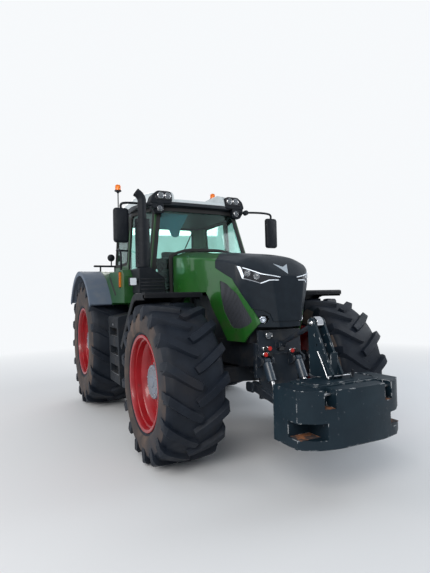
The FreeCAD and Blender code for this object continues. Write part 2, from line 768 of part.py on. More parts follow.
def make_knuckle(side, way):
    axle_z = size.front_tyre_radius
    pivot = (size.kingpin_x * way, size.front_axle_y)
    boss_end = (size.track_front / 2 - size.front_hub_in - size.face_gap) * way
    part = Piece(f"knuckle_{side}")
    half = size.knuckle_half_height - size.face_gap
    part.disc("z", axle_z - half, axle_z + half, pivot, size.knuckle_radius)
    pin_half = size.knuckle_half_height + 45
    part.disc("z", axle_z - pin_half, axle_z + pin_half, pivot, size.kingpin_radius)
    centre = (size.front_axle_y, axle_z)
    part.disc("x", size.kingpin_x * way, boss_end, centre, 105)
    part.disc("x", boss_end, boss_end + size.spindle_length * way, centre, size.spindle_radius)
    eye = (size.steer_rod_end * way, size.front_axle_y + size.steer_arm)
    arm_low = axle_z - size.steer_arm_drop + 24
    part.pad("z", arm_low, arm_low + 30, [
        (size.kingpin_x * way - 60, size.front_axle_y),
        (size.kingpin_x * way + 60, size.front_axle_y),
        (eye[0] + 36, eye[1]),
        (eye[0] + 36, eye[1] + 36, 20),
        (eye[0] - 36, eye[1] + 36, 20),
        (eye[0] - 36, eye[1]),
    ])
    post = sorted((640 * way, 670 * way))
    foot = sorted((655 * way, 700 * way))
    y = size.front_axle_y
    under = size.fender_top - size.fender_sheet
    part.box(foot[0], foot[1], y + 50, y + 190, axle_z + 40, axle_z + 140)
    part.box(post[0], post[1], y + 130, y + 190, axle_z + 40, under)
    part.box(post[0], post[1], y - 45, y + 190, under - 70, under)
    reach = sorted((640 * way, 1290 * way))
    for front in (y - 45, y + 150):
        part.box(reach[0], reach[1], front, front + 40, under - 40, under)
    return part


def make_front_fender(side, way):
    axle = size.front_axle_y
    sheet = size.fender_sheet
    part = Piece(f"fender_front_{side}")
    part.pad("x", size.fender_inner * way, size.fender_outer * way, [
        (axle + size.fender_front, size.fender_top),
        (axle + size.fender_front, size.fender_top - sheet),
        (axle + size.fender_bend_y - sheet * 0.3, size.fender_top - sheet),
        (axle + size.fender_bend2_y - sheet * 0.75, size.fender_bend2_z - sheet * 0.75),
        (axle + size.fender_bend3_y - sheet * 0.9, size.fender_bend3_z - sheet * 0.6),
        (axle + size.fender_tail_y - sheet, size.fender_tail_z),
        (axle + size.fender_tail_y, size.fender_tail_z),
        (axle + size.fender_bend3_y, size.fender_bend3_z),
        (axle + size.fender_bend2_y, size.fender_bend2_z),
        (axle + size.fender_bend_y, size.fender_top),
    ])
    lip = size.fender_outer * way
    part.pad("x", lip - sheet * way, lip, [
        (axle + size.fender_front, size.fender_top - sheet),
        (axle + size.fender_front + 20, size.fender_top - 45),
        (axle + size.fender_bend_y - 20, size.fender_top - 45),
        (axle + size.fender_bend_y - sheet * 0.3, size.fender_top - sheet),
    ])
    return part


for side, way in SIDES:
    make_knuckle(side, way)
    make_front_fender(side, way)


def make_front_axle():
    """The beam with its pivot saddle and a fork at each end."""
    axle_z = size.front_tyre_radius
    y = size.front_axle_y
    part = Piece("front_axle")
    web = size.kingpin_x - size.knuckle_radius - 6
    beam = part.loft("x", [
        (0, box_outline(y - size.beam_half_depth, y + size.beam_half_depth,
                        axle_z - size.beam_half_height, axle_z + size.beam_half_height)),
        (web - 60, box_outline(y - 60, y + 60, axle_z - 70, axle_z + 70)),
    ])
    fork_half = size.knuckle_half_height + 40
    fork = part.box(web - 60, web, y - 50, y + 50, axle_z - fork_half, axle_z + fork_half)
    features = [beam, fork]
    for low, high in ((size.knuckle_half_height, fork_half), (-fork_half, -size.knuckle_half_height)):
        arm = part.pad("z", axle_z + low, axle_z + high, [
            (web - 30, y - 75),
            (size.kingpin_x + 75, y - 75, 60),
            (size.kingpin_x + 75, y + 75, 60),
            (web - 30, y + 75),
        ])
        features.append(arm)
    bore = part.hole("z", axle_z - fork_half - 5, axle_z + fork_half + 5, (size.kingpin_x, y),
                     size.kingpin_radius + size.pin_gap)
    part.mirror(*features, bore)
    part.box(-140, 140, y - 140, y + 140, axle_z + size.beam_half_height - 30, 1000)
    rod_y, rod_z = y + size.steer_arm, axle_z - size.steer_arm_drop
    part.disc("x", -230, 230, (rod_y, rod_z), 42)
    part.hole("x", -240, 240, (rod_y, rod_z), size.steer_rod_radius + size.running_gap)
    for low in (-170, 110):
        part.box(low, low + 60, y + size.beam_half_depth - 25, rod_y - 34, rod_z - 30, rod_z + 60)
    return part


def make_steering_rod():
    axle_z = size.front_tyre_radius
    y = size.front_axle_y + size.steer_arm
    z = axle_z - size.steer_arm_drop
    rod = Piece("steering_rod")
    rod.disc("x", -size.steer_rod_end + 20, size.steer_rod_end - 20, (y, z), size.steer_rod_radius)
    for way in (-1, 1):
        rod.disc("z", z - 17, z + 17, (size.steer_rod_end * way, y), 34)


make_front_axle()
make_steering_rod()


# Chassis: front frame, engine, gearbox with the rear axle tubes

def make_chassis():
    frame = Piece("front_frame")
    rail_in = size.engine_half
    rail_out = size.engine_half + 25
    rail = frame.pad("x", rail_in, rail_out, [
        (size.frame_front, 1000),
        (size.frame_front, 1240),
        (size.engine_rear - 60, 1240),
        (size.engine_rear - 60, 1040),
        (size.front_axle_y + 240, 960),
        (size.front_axle_y - 240, 960),
    ])
    frame.mirror(rail)
    frame.box(-rail_out, rail_out, size.frame_front, size.frame_front + 300, 1000, 1240)
    frame.box(-size.cooler_half, size.cooler_half, size.cooler_front, size.cooler_rear, 1240,
              size.cooler_low)
    engine = Piece("engine_block")
    engine.pad("x", -size.engine_half, size.engine_half, [
        (size.engine_front, 1000),
        (size.front_axle_y + 250, 1000),
        (size.front_axle_y + 290, size.engine_low),
        (size.engine_rear, size.engine_low),
        (size.engine_rear, size.engine_top),
        (size.engine_front, size.engine_top),
    ])
    hinge = (size.bonnet_hinge_y, size.bonnet_hinge_z)
    post = engine.box(152, 168, hinge[0] - 18, hinge[0] + 18, size.engine_top - 5, hinge[1] + 14)
    pin = engine.disc("x", 112, 160, hinge, size.bonnet_pin_radius)
    engine.mirror(post, pin)
    cooler = Piece("cooling_pack")
    cooler.box(-size.cooler_half, size.cooler_half, size.cooler_front, size.cooler_rear,
               size.cooler_low, size.cooler_top)
    gearbox = Piece("gearbox_housing")
    half = size.gearbox_half
    gearbox.pad("x", -half, half, [
        (size.engine_rear, size.engine_low),
        (400, size.gearbox_low),
        (size.gearbox_rear, size.gearbox_low),
        (size.gearbox_rear, size.gearbox_top),
        (size.engine_rear, size.gearbox_top),
    ])
    axle = Piece("rear_axle")
    end = size.track_rear / 2 - size.rear_hub_in - size.face_gap
    tube = axle.turn("x", (rear_axle_y, size.rear_tyre_radius), [
        (half, 0),
        (half, size.trumpet_radius + 20),
        (half + 40, size.trumpet_radius + 20),
        (half + 80, size.trumpet_radius),
        (end - 60, size.trumpet_end_radius),
        (end - 60, size.trumpet_end_radius + 25),
        (end, size.trumpet_end_radius + 25),
        (end, size.axle_shaft_radius),
        (end + size.spindle_length, size.axle_shaft_radius),
        (end + size.spindle_length, 0),
    ])
    axle.mirror(tube)
    for low, high in ((80, 180), (1560, 1700)):
        mount = gearbox.box(150, half, low, high, size.gearbox_top - 5, size.cab_floor)
        gearbox.mirror(mount)


make_chassis()


# Bonnet: one shell of straight-sided sections, split into side, top and nose pieces

STATIONS = [
    # y, half width, half width at the bottom, top, crease below the top, height where it tapers in
    (size.bonnet_rear, size.bonnet_half_rear, size.bonnet_half_low + 95, size.bonnet_top_rear,
     size.bonnet_crown, 1600),
    (-1000, size.bonnet_half_rear - 12, size.bonnet_half_low + 70, 2306, size.bonnet_crown, 1600),
    (size.nose_bend_y, size.bonnet_half_front, size.bonnet_half_low, size.bonnet_top_front,
     size.bonnet_crown + 13, 1800),
    (size.nose_bend_y - 140, size.bonnet_half_front - 54, size.bonnet_half_low - 78,
     size.bonnet_top_front - 68, 96, 1880),
    (-1975, size.bonnet_half_front - 156, size.bonnet_half_low - 175, 2026, 44, 1880),
    (size.nose_tip_y, 190, 110, size.nose_tip_high, 14, 1870),
]


def bonnet_section(half, low_half, top, crown, waist, low, inset):
    """Eight corners: bottom, side, crease and the crowned top, drawn once round."""
    side, foot = half - inset, low_half - inset
    crease, ridge = top - crown - inset * 0.6, top - crown * 0.25 - inset
    return [
        (-foot, low),
        (foot, low),
        (side, waist),
        (side, crease),
        (side * 0.6, ridge),
        (-side * 0.6, ridge),
        (-side, crease),
        (-side, waist),
    ]


def bonnet_shell(name):
    """The whole hood with its open underside, before it is split."""
    part = Piece(name)
    skin = size.bonnet_sheet
    outer = [(y, bonnet_section(*sizes, size.skirt_low, 0)) for y, *sizes in STATIONS]
    part.loft("y", outer)
    inner = [(y, bonnet_section(*sizes, size.skirt_low - 1, skin)) for y, *sizes in STATIONS[:-1]]
    first, last = STATIONS[0], STATIONS[-1]
    inner[0] = (size.bonnet_rear + 1, bonnet_section(*first[1:], size.skirt_low - 1, skin))
    inner.append((size.nose_tip_y + 22, bonnet_section(*last[1:], size.skirt_low - 1, skin)))
    part.hollow("y", inner)
    wide = size.bonnet_half_rear + 20
    below = size.skirt_low - 60
    part.cut("x", -wide, wide, [
        (size.bonnet_rear + 5, below),
        (size.bonnet_rear + 5, size.side_low),
        (size.side_step_y, size.side_low),
        (size.side_step_y - 80, size.side_low - 80),
        (size.skirt_rear_y + 105, 1465),
        (size.skirt_rear_y, size.skirt_low - 10),
        (size.skirt_rear_y, below),
    ])
    part.cut("x", -wide, wide, [
        (size.nose_tip_y - 20, below),
        (size.nose_tip_y - 20, size.nose_low),
        (size.nose_foot_y, size.nose_low),
        (size.skirt_front_y, size.skirt_low - 5),
        (size.skirt_front_y, below),
    ])
    return part


def top_outline(spare):
    inset = size.crease_inset + spare
    edge = size.bonnet_half_front - inset
    return [
        (0, size.top_split_y - spare * 1.5),
        (-edge - 25, size.top_split_side_y - spare),
        (-edge, size.nose_bend_y),
        (-edge + 54, size.nose_bend_y - 140),
        (-edge + 156, -1975),
        (-edge + 256, size.nose_tip_y + 25),
        (edge - 256, size.nose_tip_y + 25),
        (edge - 156, -1975),
        (edge - 54, size.nose_bend_y - 140),
        (edge, size.nose_bend_y),
        (edge + 25, size.top_split_side_y - spare),
    ]


def nose_edge(spare):
    """The line from the top's edge down to the lower corner of the nose, seen from the side."""
    corners = [(size.top_split_side_y, 2230), (size.top_split_side_y, 2068), (-1661, 1928), (-1750, 1820),
               (-1858, 1594), (-1905, 1460), (size.nose_foot_y, size.nose_low),
               (size.nose_foot_y, size.skirt_low - 40)]
    return [(y - spare, z) for y, z in corners]


GRILLE = [(-1408, 1922), (-1544, 1886), (-1736, 1764), (-1840, 1482), (-1795, 1434), (-1697, 1393),
          (-1539, 1396), (-1451, 1562)]
HEADLAMP = [(441, 2062), (282, 1966), (100, 1930), (122, 1890), (218, 1891), (287, 1861), (415, 1921)]
HEADLAMP_MIDDLE = (270, 1925)
LOW_LAMP = (243, 1495)


def headlamp_outline(spare, way):
    """The lamp opening in the nose as seen from the front, drawn smaller all round by spare."""
    corners = [((x - (spare if x > HEADLAMP_MIDDLE[0] else -spare)) * way,
                z - (spare if z > HEADLAMP_MIDDLE[1] else -spare)) for x, z in HEADLAMP]
    return corners[::way]


def make_bonnet():
    wide = size.bonnet_half_rear + 20
    high = size.bonnet_top_rear + 40
    split = size.top_split_z
    front = size.nose_tip_y - 40
    side = bonnet_shell("bonnet_side")
    side.cut("z", split, high, top_outline(0))
    side.cut("x", -wide, wide, nose_edge(0) + [(front, size.skirt_low - 40), (front, 2230)])
    side.cut("x", -wide, wide, GRILLE)
    hinge = (size.bonnet_hinge_y, size.bonnet_hinge_z)
    eye = side.disc("x", 114, 150, hinge, 16)
    strap = side.box(114, 150, hinge[0] - 16, hinge[0] + 16, hinge[1], hinge[1] + 34)
    bore = side.hole("x", 112, 152, hinge, size.bonnet_pin_radius + size.pin_gap)
    side.mirror(eye, strap, bore)
    top = bonnet_shell("bonnet_top")
    around = box_outline(-wide, wide, front, size.bonnet_rear + 20)
    top.cut("z", split - 700, high, around, top_outline(size.panel_seam))
    top.cut("z", size.skirt_low - 10, split, around)
    nose = bonnet_shell("bonnet_nose")
    nose.cut("z", split, high, top_outline(0))
    nose.cut("x", -wide, wide, nose_edge(size.panel_seam) + [
        (size.bonnet_rear + 20, size.skirt_low - 40),
        (size.bonnet_rear + 20, high),
        (size.top_split_side_y - size.panel_seam, high),
    ])
    nose.cut("y", front, size.nose_bend_y + 60, headlamp_outline(0, 1), headlamp_outline(0, -1),
             circles=[(way * LOW_LAMP[0], LOW_LAMP[1], 36) for _, way in SIDES])
    mesh = Piece("bonnet_grilles")
    for kind, inset, spare in ((mesh.loft, 3, 0), (mesh.hollow, 9, 1)):
        kind("y", [(y, bonnet_section(*sizes, size.skirt_low - spare, inset))
                   for y, *sizes in STATIONS[1:5]])
    mesh.cut("x", -wide, wide, box_outline(front, -900, size.skirt_low - 20, high), GRILLE)
    lamps = Piece("headlamps")
    for kind, inset, spare in ((lamps.loft, 3, 0), (lamps.hollow, 10, 1)):
        sections = [(y, bonnet_section(*sizes, size.skirt_low - spare, inset)) for y, *sizes in STATIONS[1:]]
        sections[-1] = (size.nose_tip_y + inset, sections[-1][1])
        kind("y", sections)
    lamps.cut("y", front, -900, box_outline(-wide, wide, size.skirt_low - 20, high),
              headlamp_outline(size.panel_seam, 1), headlamp_outline(size.panel_seam, -1))
    for _, way in SIDES:
        lamps.disc("y", -1952, -1922, (way * LOW_LAMP[0], LOW_LAMP[1]), 36 - size.face_gap)


make_bonnet()


# Cab: a hollow shell whose front leans back above the sill, with its openings cut through

HINGE_LEVELS = (1740, 2140)


def lean(z):
    """How far a height lies between the sill and the eave, from 0 to 1."""
    z = as_size(z)
    if z.value <= size.cab_sill.value:
        return as_size(0)
    return (z - size.cab_sill) / (size.cab_eave - size.cab_sill)


def pillar(z):
    part = lean(z)
    x = size.pillar_foot_x + (size.pillar_head_x - size.pillar_foot_x) * part
    y = size.pillar_foot_y + (size.pillar_head_y - size.pillar_foot_y) * part
    return x, y


def post_x(z):
    return size.post_foot_x + (size.post_head_x - size.post_foot_x) * lean(z)


def side_x(y, z):
    """The cab's outer face on the left, between the front pillar and the middle post."""
    x, front = pillar(z)
    y = as_size(y)
    return x + (post_x(z) - x) * (y - front) / (size.post_y - front)


def screen_y(x, z):
    """The cab's front face at a distance from the middle, outside the flat centre stretch."""
    edge, front = pillar(z)
    return front - size.screen_bow * (edge - x) / (edge * 0.5)


def cab_section(z, inset):
    x, front = pillar(z)
    side = post_x(z)
    rear = size.cab_rear - inset
    front_half = [
        (x * 0.5, front - size.screen_bow + inset),
        (x - inset, front + inset),
        (side - inset, size.post_y),
        (side - inset, rear - 100),
        (side - inset - 90, rear),
    ]
    return [(-a, b) for a, b in front_half] + list(reversed(front_half))


def make_cab():
    cab = Piece("cab_frame")
    floor = size.cab_floor + size.floor_sheet
    levels = (size.cab_floor, size.cab_sill, size.cab_eave)
    cab.loft("z", [(z, cab_section(z, 0)) for z in levels])
    cab.hollow("z", [(floor, cab_section(floor, size.cab_wall)),
                     (size.cab_sill, cab_section(size.cab_sill, size.cab_wall)),
                     (size.cab_eave + 1, cab_section(size.cab_eave, size.cab_wall))])
    arch = size.arch_radius + size.arch_sheet
    wheel_well = cab.hole("x", size.cab_tub_half, size.post_foot_x + 20,
                          (rear_axle_y, size.rear_tyre_radius), arch)
    cab.mirror(wheel_well)
    cab.cut("y", size.pillar_foot_y - size.screen_bow - 20, size.pillar_head_y + 80, [
        (-750, 1800), (750, 1800), (750, size.cab_sill), (592, 3030), (-592, 3030),
        (-750, size.cab_sill),
    ])
    door_top = 3040
    cab.cut("x", 560, size.post_foot_x + 60, [
        (size.pillar_foot_y + 50, size.door_sill),
        (size.post_y - 20, size.door_sill),
        (size.post_y - 20, door_top),
        (pillar(door_top)[1] + 50, door_top),
        (size.pillar_foot_y + 50, size.cab_sill),
    ])
    cab.cut("x", -size.post_foot_x - 60, -560, [
        (size.pillar_foot_y + 50, 1900),
        (size.post_y - 20, 1900),
        (size.post_y - 20, door_top),
        (pillar(door_top)[1] + 50, door_top),
        (size.pillar_foot_y + 50, size.cab_sill),
    ])
    quarter = box_outline(size.post_y + 50, size.cab_rear - 120, 2300, 3030)
    cab.cut("x", -size.post_foot_x - 20, size.post_foot_x + 20, quarter)
    cab.cut("y", size.cab_rear - 60, size.cab_rear + 20,
            box_outline(-size.rear_window_half, size.rear_window_half, 1700, 3030))
    axis = (size.post_foot_x + 30, size.post_y - 20)
    for level in HINGE_LEVELS:
        cab.disc("z", level, level + 80, axis, 8)
        for low in (level, level + 60):
            cab.box(size.post_foot_x - 30, axis[0] + 12, axis[1] - 12, size.post_y + 40, low, low + 20)
    return cab


make_cab()


def pane_strip(z, first, last, inset, thickness):
    """A thin strip along the left wall from y to y, set in from the outer face."""
    ends = [(side_x(y, z) - inset, y) for y in (first, last)]
    return ends + [(ends[1][0] - thickness, ends[1][1]), (ends[0][0] - thickness, ends[0][1])]


def side_panel(part, low, high, front_in, rear, inset, thickness):
    """A panel in the plane of the left wall, from near the pillar back to rear."""
    levels = [low] + ([size.cab_sill] if as_size(low).value < size.cab_sill.value else []) + [high]
    return part.loft("z", [(z, pane_strip(z, pillar(z)[1] + front_in, rear, inset, thickness))
                           for z in levels])


def screen_strip(z, half, inset, thickness):
    knee = pillar(z)[0] * 0.5
    near = pillar(z)[1] - size.screen_bow
    line = [(half, screen_y(half, z)), (knee, near), (-knee, near), (-half, screen_y(half, z))]
    return ([(x, y + inset) for x, y in line]
            + [(x, y + inset + thickness) for x, y in reversed(line)])


def make_glass():
    glass = size.glass_sheet
    screen = Piece("windscreen")
    screen.loft("z", [(1800, screen_strip(1800, 750, 15, glass)),
                      (size.cab_sill, screen_strip(size.cab_sill, 750, 15, glass)),
                      (3030, screen_strip(3030, 592, 15, glass))])
    panes = Piece("cab_windows")
    door_side = side_panel(panes, 1900, 3040, 50, size.post_y - 20, 15, glass)
    flipped = panes.mirror(door_side)
    panes.cut("x", 500, 1000, box_outline(-100, size.post_y + 10, 1850, 3100))
    for sign in (-1, 1):
        low, high = 2300, 3030
        panes.loft("z", [(z, [((post_x(z) - 15) * sign, size.post_y + 50),
                              ((post_x(z) - 15) * sign, size.cab_rear - 120),
                              ((post_x(z) - 15 - glass) * sign, size.cab_rear - 120),
                              ((post_x(z) - 15 - glass) * sign, size.post_y + 50)])
                         for z in (low, high)])
    panes.box(-size.rear_window_half, size.rear_window_half, size.cab_rear - 15 - glass,
              size.cab_rear - 15, 1700, 3030)
    return flipped


def make_door():
    """The left door: a frame round its glass, with two hinge eyes on the middle post."""
    play, rail = size.door_play, size.door_rail
    low, high = size.door_sill + play, 3040 - play
    rear = size.post_y - 20 - play
    frame = Piece("door_frame")
    side_panel(frame, low, high, 50 + play, rear, 2, 36)
    opening = [
        (size.pillar_foot_y + 50 + play + rail, low + rail),
        (rear - rail, low + rail),
        (rear - rail, high - rail),
        (pillar(high - rail)[1] + 50 + play + rail, high - rail),
        (size.pillar_foot_y + 50 + play + rail, size.cab_sill),
    ]
    frame.cut("x", 500, 1000, opening)
    axis = (size.post_foot_x + 30, size.post_y - 20)
    for level in HINGE_LEVELS:
        frame.disc("z", level + 20.3, level + 59.7, axis, 17, 8 + size.pin_gap)
        frame.box(axis[0] - 45, axis[0] - 12, rear - 30, rear - 2, level + 20.3, level + 59.7)
        frame.pad("z", level + 20.3, level + 59.7, [
            (axis[0] - 45, rear - 30), (axis[0] - 30, rear - 30), (axis[0] - 8, axis[1] - 12),
            (axis[0] - 14, axis[1] - 2)])
    pane = Piece("door_glass")
    side_panel(pane, low + rail, high - rail, 50 + play + rail, rear - rail, 14, size.glass_sheet)
    return frame


def roof_section(inset, z):
    front, rear = size.roof_front + inset, size.roof_rear - inset
    half = size.roof_half - inset
    fore = size.roof_half_front - inset
    right = [(fore * 0.55, front - 40), (fore, front + 40), (half, size.post_y - 300),
             (half, rear - 140), (half - 160, rear)]
    return z, [(-a, b) for a, b in right] + list(reversed(right))


def make_roof():
    roof = Piece("cab_roof")
    roof.loft("z", [roof_section(20, size.cab_eave), roof_section(0, size.cab_eave + 70),
                    roof_section(25, size.cab_eave + 170), roof_section(170, size.roof_top)])
    roof.cut("z", size.cab_eave, size.cab_eave + 60, [
        (-560, pillar(size.cab_eave)[1] + 60), (560, pillar(size.cab_eave)[1] + 60),
        (760, size.post_y), (760, size.cab_rear - 120), (-760, size.cab_rear - 120),
        (-760, size.post_y)])
    recess = roof.cut("z", size.cab_eave + 65, size.cab_eave + 205,
                      box_outline(430, 680, 0, size.roof_front + 150))
    roof.mirror(recess)
    lip = size.cab_eave + 95
    roof.cut("x", -400, 400, [(0, lip), (size.roof_front, lip), (size.roof_front + 900, size.roof_top + 1),
                              (size.roof_front + 900, size.roof_top + 60), (0, size.roof_top + 60)])
    return roof


def arc_spot(radius, angle):
    """A point on a circle about the rear axle, its angle counted up from the rear."""
    return (rear_axle_y + radius * cosine(angle), size.rear_tyre_radius + radius * sine(angle))


def make_lamps():
    """Work lamp clusters on the roof corners and low lamps on the pillar heads."""
    lamps = Piece("lamps")
    made = []
    front, rear = size.roof_front - 40, size.roof_front + 150
    made.append(lamps.box(430, 680, front, rear, size.cab_eave + 65, size.cab_eave + 205))
    for x in (495, 610):
        made.append(lamps.disc("y", front - 25, front, (x, size.cab_eave + 140), size.lamp_radius))
    made.append(lamps.box(590, 665, front + 20, front + 95, size.cab_eave - 120, size.cab_eave))
    made.append(lamps.disc("y", front, front + 20, (628, size.cab_eave - 60), 34))
    seat = size.arch_radius + size.arch_sheet + 2
    made.append(lamps.pad("x", 900, 1120, [arc_spot(seat, 46), arc_spot(seat, 40),
                                           arc_spot(seat + 80, 40), arc_spot(seat + 80, 46)]))
    lamps.mirror(*made)
    beacons = Piece("beacons")
    top, y = 3640, 1330
    for x, low in ((-920, 3160), (820, 3296)):
        beacons.disc("z", low, top - 110, (x, y), 9)
        beacons.disc("z", top - 110, top - 90, (x, y), 48)
        beacons.disc("z", top - 90, top, (x, y), 40)
    beacons.box(-932, -size.roof_half, y - 12, y + 12, size.cab_eave + 70, size.cab_eave + 95)
    return lamps


def make_mirrors():
    mirrors = Piece("mirrors")
    y = 40
    head = mirrors.pad("y", y - 45, y + 15, box_outline(1100, 1310, 2500, 2975, 45))
    arm = mirrors.box(672, 1215, y - 20, y + 10, 3020, 3050)
    root_arm = mirrors.pad("z", 3020, 3050, [
        (672, y - 20), (712, y - 20), (712, 340), (side_x(340, 3020), 340),
        (side_x(270, 3020), 270), (672, 240)])
    stem = mirrors.disc("z", 2975, 3025, (1205, y - 5), 14)
    mirrors.mirror(head, arm, root_arm, stem)
    return mirrors


make_glass()
make_door()
make_roof()
make_lamps()
make_mirrors()


# Rear fenders about the rear axle, with their side extensions and the panel beside the cab

def arc_panel(part, start, stop, inner, thickness, first, last):
    """A curved sheet about the rear axle from one angle to another, drawn from x to x."""
    outer = inner + thickness
    middle = (first + last) / 2
    return part.pad("x", start, stop, [
        arc_spot(outer, first), Bow(outer), arc_spot(outer, middle), Bow(outer),
        arc_spot(outer, last), arc_spot(inner, last), Bow(inner, False),
        arc_spot(inner, middle), Bow(inner, False), arc_spot(inner, first)])


def make_rear_fenders():
    first, last = size.arch_rear_angle, size.arch_front_angle
    fenders = Piece("rear_fenders")
    curve = arc_panel(fenders, size.cab_tub_half + 30, size.arch_split, size.arch_radius,
                      size.arch_sheet, first, last)
    wall = arc_panel(fenders, size.cab_tub_half, size.cab_tub_half + 30, size.arch_radius - 420,
                     size.arch_sheet + 420, first + 25, last)
    both = fenders.mirror(curve, wall)
    fenders.pad("x", -size.arch_split, -size.post_foot_x - 3, [
        (140, 1690), (140, 2060), (240, 2150), (1000, 2150), (1180, 2060), (900, 1690)])
    flaps = Piece("fender_extensions")
    flap = arc_panel(flaps, size.arch_split, size.arch_outer, size.arch_radius - 3,
                     size.arch_sheet, first, last)
    lip = arc_panel(flaps, size.arch_outer - 20, size.arch_outer, size.arch_radius - 45,
                    size.arch_sheet + 42, first, last)
    flaps.mirror(flap, lip)
    return both


make_rear_fenders()


# Exhaust, side tanks and steps, handrails

def make_exhaust():
    stack = Piece("exhaust_stack")
    x, y = size.stack_x, size.stack_y
    stack.box(x - 95, x + 280, y - 110, y + 85, 1800, size.stack_low)
    stack.disc("z", size.stack_low, size.stack_high, (x, y), size.stack_radius)
    near, far = 660, size.pillar_foot_x - 60
    stack.pad("z", 1500, 1805, [(-far, y - 20), (-near, y - 20), (-near, screen_y(near, 1500)),
                                (-far, screen_y(far, 1500))])
    top = size.pipe_bend_z
    stack.tube("y", y, [(x, size.stack_high - 5), (x, top, 140), (x - 160, top + 110)],
               size.pipe_radius, size.pipe_wall)
    return stack


def tank_x(z):
    """The outer face of a side tank, which leans out towards the cab."""
    return as_size(850 + 30 * (z - 620) / (1392 - 620))


def make_side_units():
    tanks = Piece("side_tanks")
    tanks.pad("y", 60, 790, [(size.gearbox_half, 620, 60), (850, 620, 90), (880, 1392, 60),
                            (size.gearbox_half, 1392, 60)])
    tanks.pad("y", 60, 790, [(-size.gearbox_half, 1392, 60), (-880, 1392, 60), (-850, 620, 90),
                           (-size.gearbox_half, 620, 60)])
    steps = Piece("steps_left")
    for low_y in (200, 640):
        steps.box(900, 1200, low_y, low_y + 18, 480, 1380)
    for number in range(4):
        level = 500 + 265 * number
        steps.box(900, 1200 - 25 * number, 218, 640, level, level + 30)
    steps.pad("y", 200, 658, [(tank_x(730), 730), (905, 730), (905, 1100), (tank_x(1100), 1100)])
    locker = Piece("tool_box")
    locker.pad("y", 140, 710, [(-900, 560), (-1230, 560, 40), (-1250, 1500, 40), (-900, 1560)])
    locker.pad("y", 200, 650, [(-905, 730), (-tank_x(730), 730), (-tank_x(1300), 1300), (-905, 1300)])
    for number in range(3):
        level = 700 + 260 * number
        locker.cut("x", -1260, -1150, box_outline(200, 650, level, level + 120, 20))
    return steps


def make_handrails():
    rails = Piece("handrails")
    rails.tube("x", -1070, [(620, 2150), (620, 2440, 60), (720, 2490, 40), (860, 2490)], 16)
    rails.box(-1080, -post_x(2474) + 0.6, 850, 875, 2474, 2506)
    rails.tube("x", 1010, [(60, 1500), (30, 1700, 90), (30, 2100)], 16)
    rails.box(side_x(75, 1480), 1026, 45, 75, 1480, 1512)
    return rails


def make_interior():
    seat = Piece("seat")
    seat.pad("x", -260, 260, [
        (820, 1850, 30), (840, 1980, 40), (1270, 1980), (1380, 2560, 40), (1480, 2540, 40),
        (1400, 1850, 40)])
    fittings = Piece("cab_fittings")
    fittings.box(-220, 220, 900, 1350, size.cab_floor + size.floor_sheet, 1850)
    fittings.pad("x", -160, 160, [
        (90, size.cab_floor + size.floor_sheet), (420, size.cab_floor + size.floor_sheet),
        (420, 1950), (382.6, 2116.8), (317.4, 2163.2), (200, 2160), (90, 1950)])
    fittings.box(-450, -290, 760, 1300, 2060, 2160)
    fittings.box(-400, -340, 1000, 1200, size.cab_floor + size.floor_sheet, 2060)
    wheel = Piece("steering_wheel")
    wheel.rod(0, (350.1, 2140.1), (492, 2343), 24)
    ring = wheel.add("PartDesign::AdditiveTorus", "ring")
    ring.Radius1, ring.Radius2 = 190, 16
    tilt = FreeCAD.Rotation(Vector(1, 0, 0), -35.5)
    ring.Placement = FreeCAD.Placement(Vector(0, 489, 2343), tilt)
    spokes = wheel.add("PartDesign::AdditiveBox", "spokes")
    spokes.Length, spokes.Width, spokes.Height = 376, 40, 16
    spokes.Placement = FreeCAD.Placement(Vector(-188, 489, 2343) + tilt.multVec(Vector(0, -20, -8)),
                                         tilt)
    return seat


make_exhaust()
make_side_units()
make_handrails()
make_interior()


# Front linkage: links and cylinders that carry the ballast block

def plate_link(part, first, last, radii, half_x, bores, bar, centre_x=0):
    """A round bar with an eye across x at each end, from (y, z) to (y, z)."""
    part.rod(centre_x, first, last, bar)
    for end, radius in zip((first, last), radii):
        part.disc("x", centre_x - half_x, centre_x + half_x, end, radius)
    for end, bore in zip((first, last), bores):
        part.hole("x", centre_x - half_x - 40, centre_x + half_x + 40, end, bore)


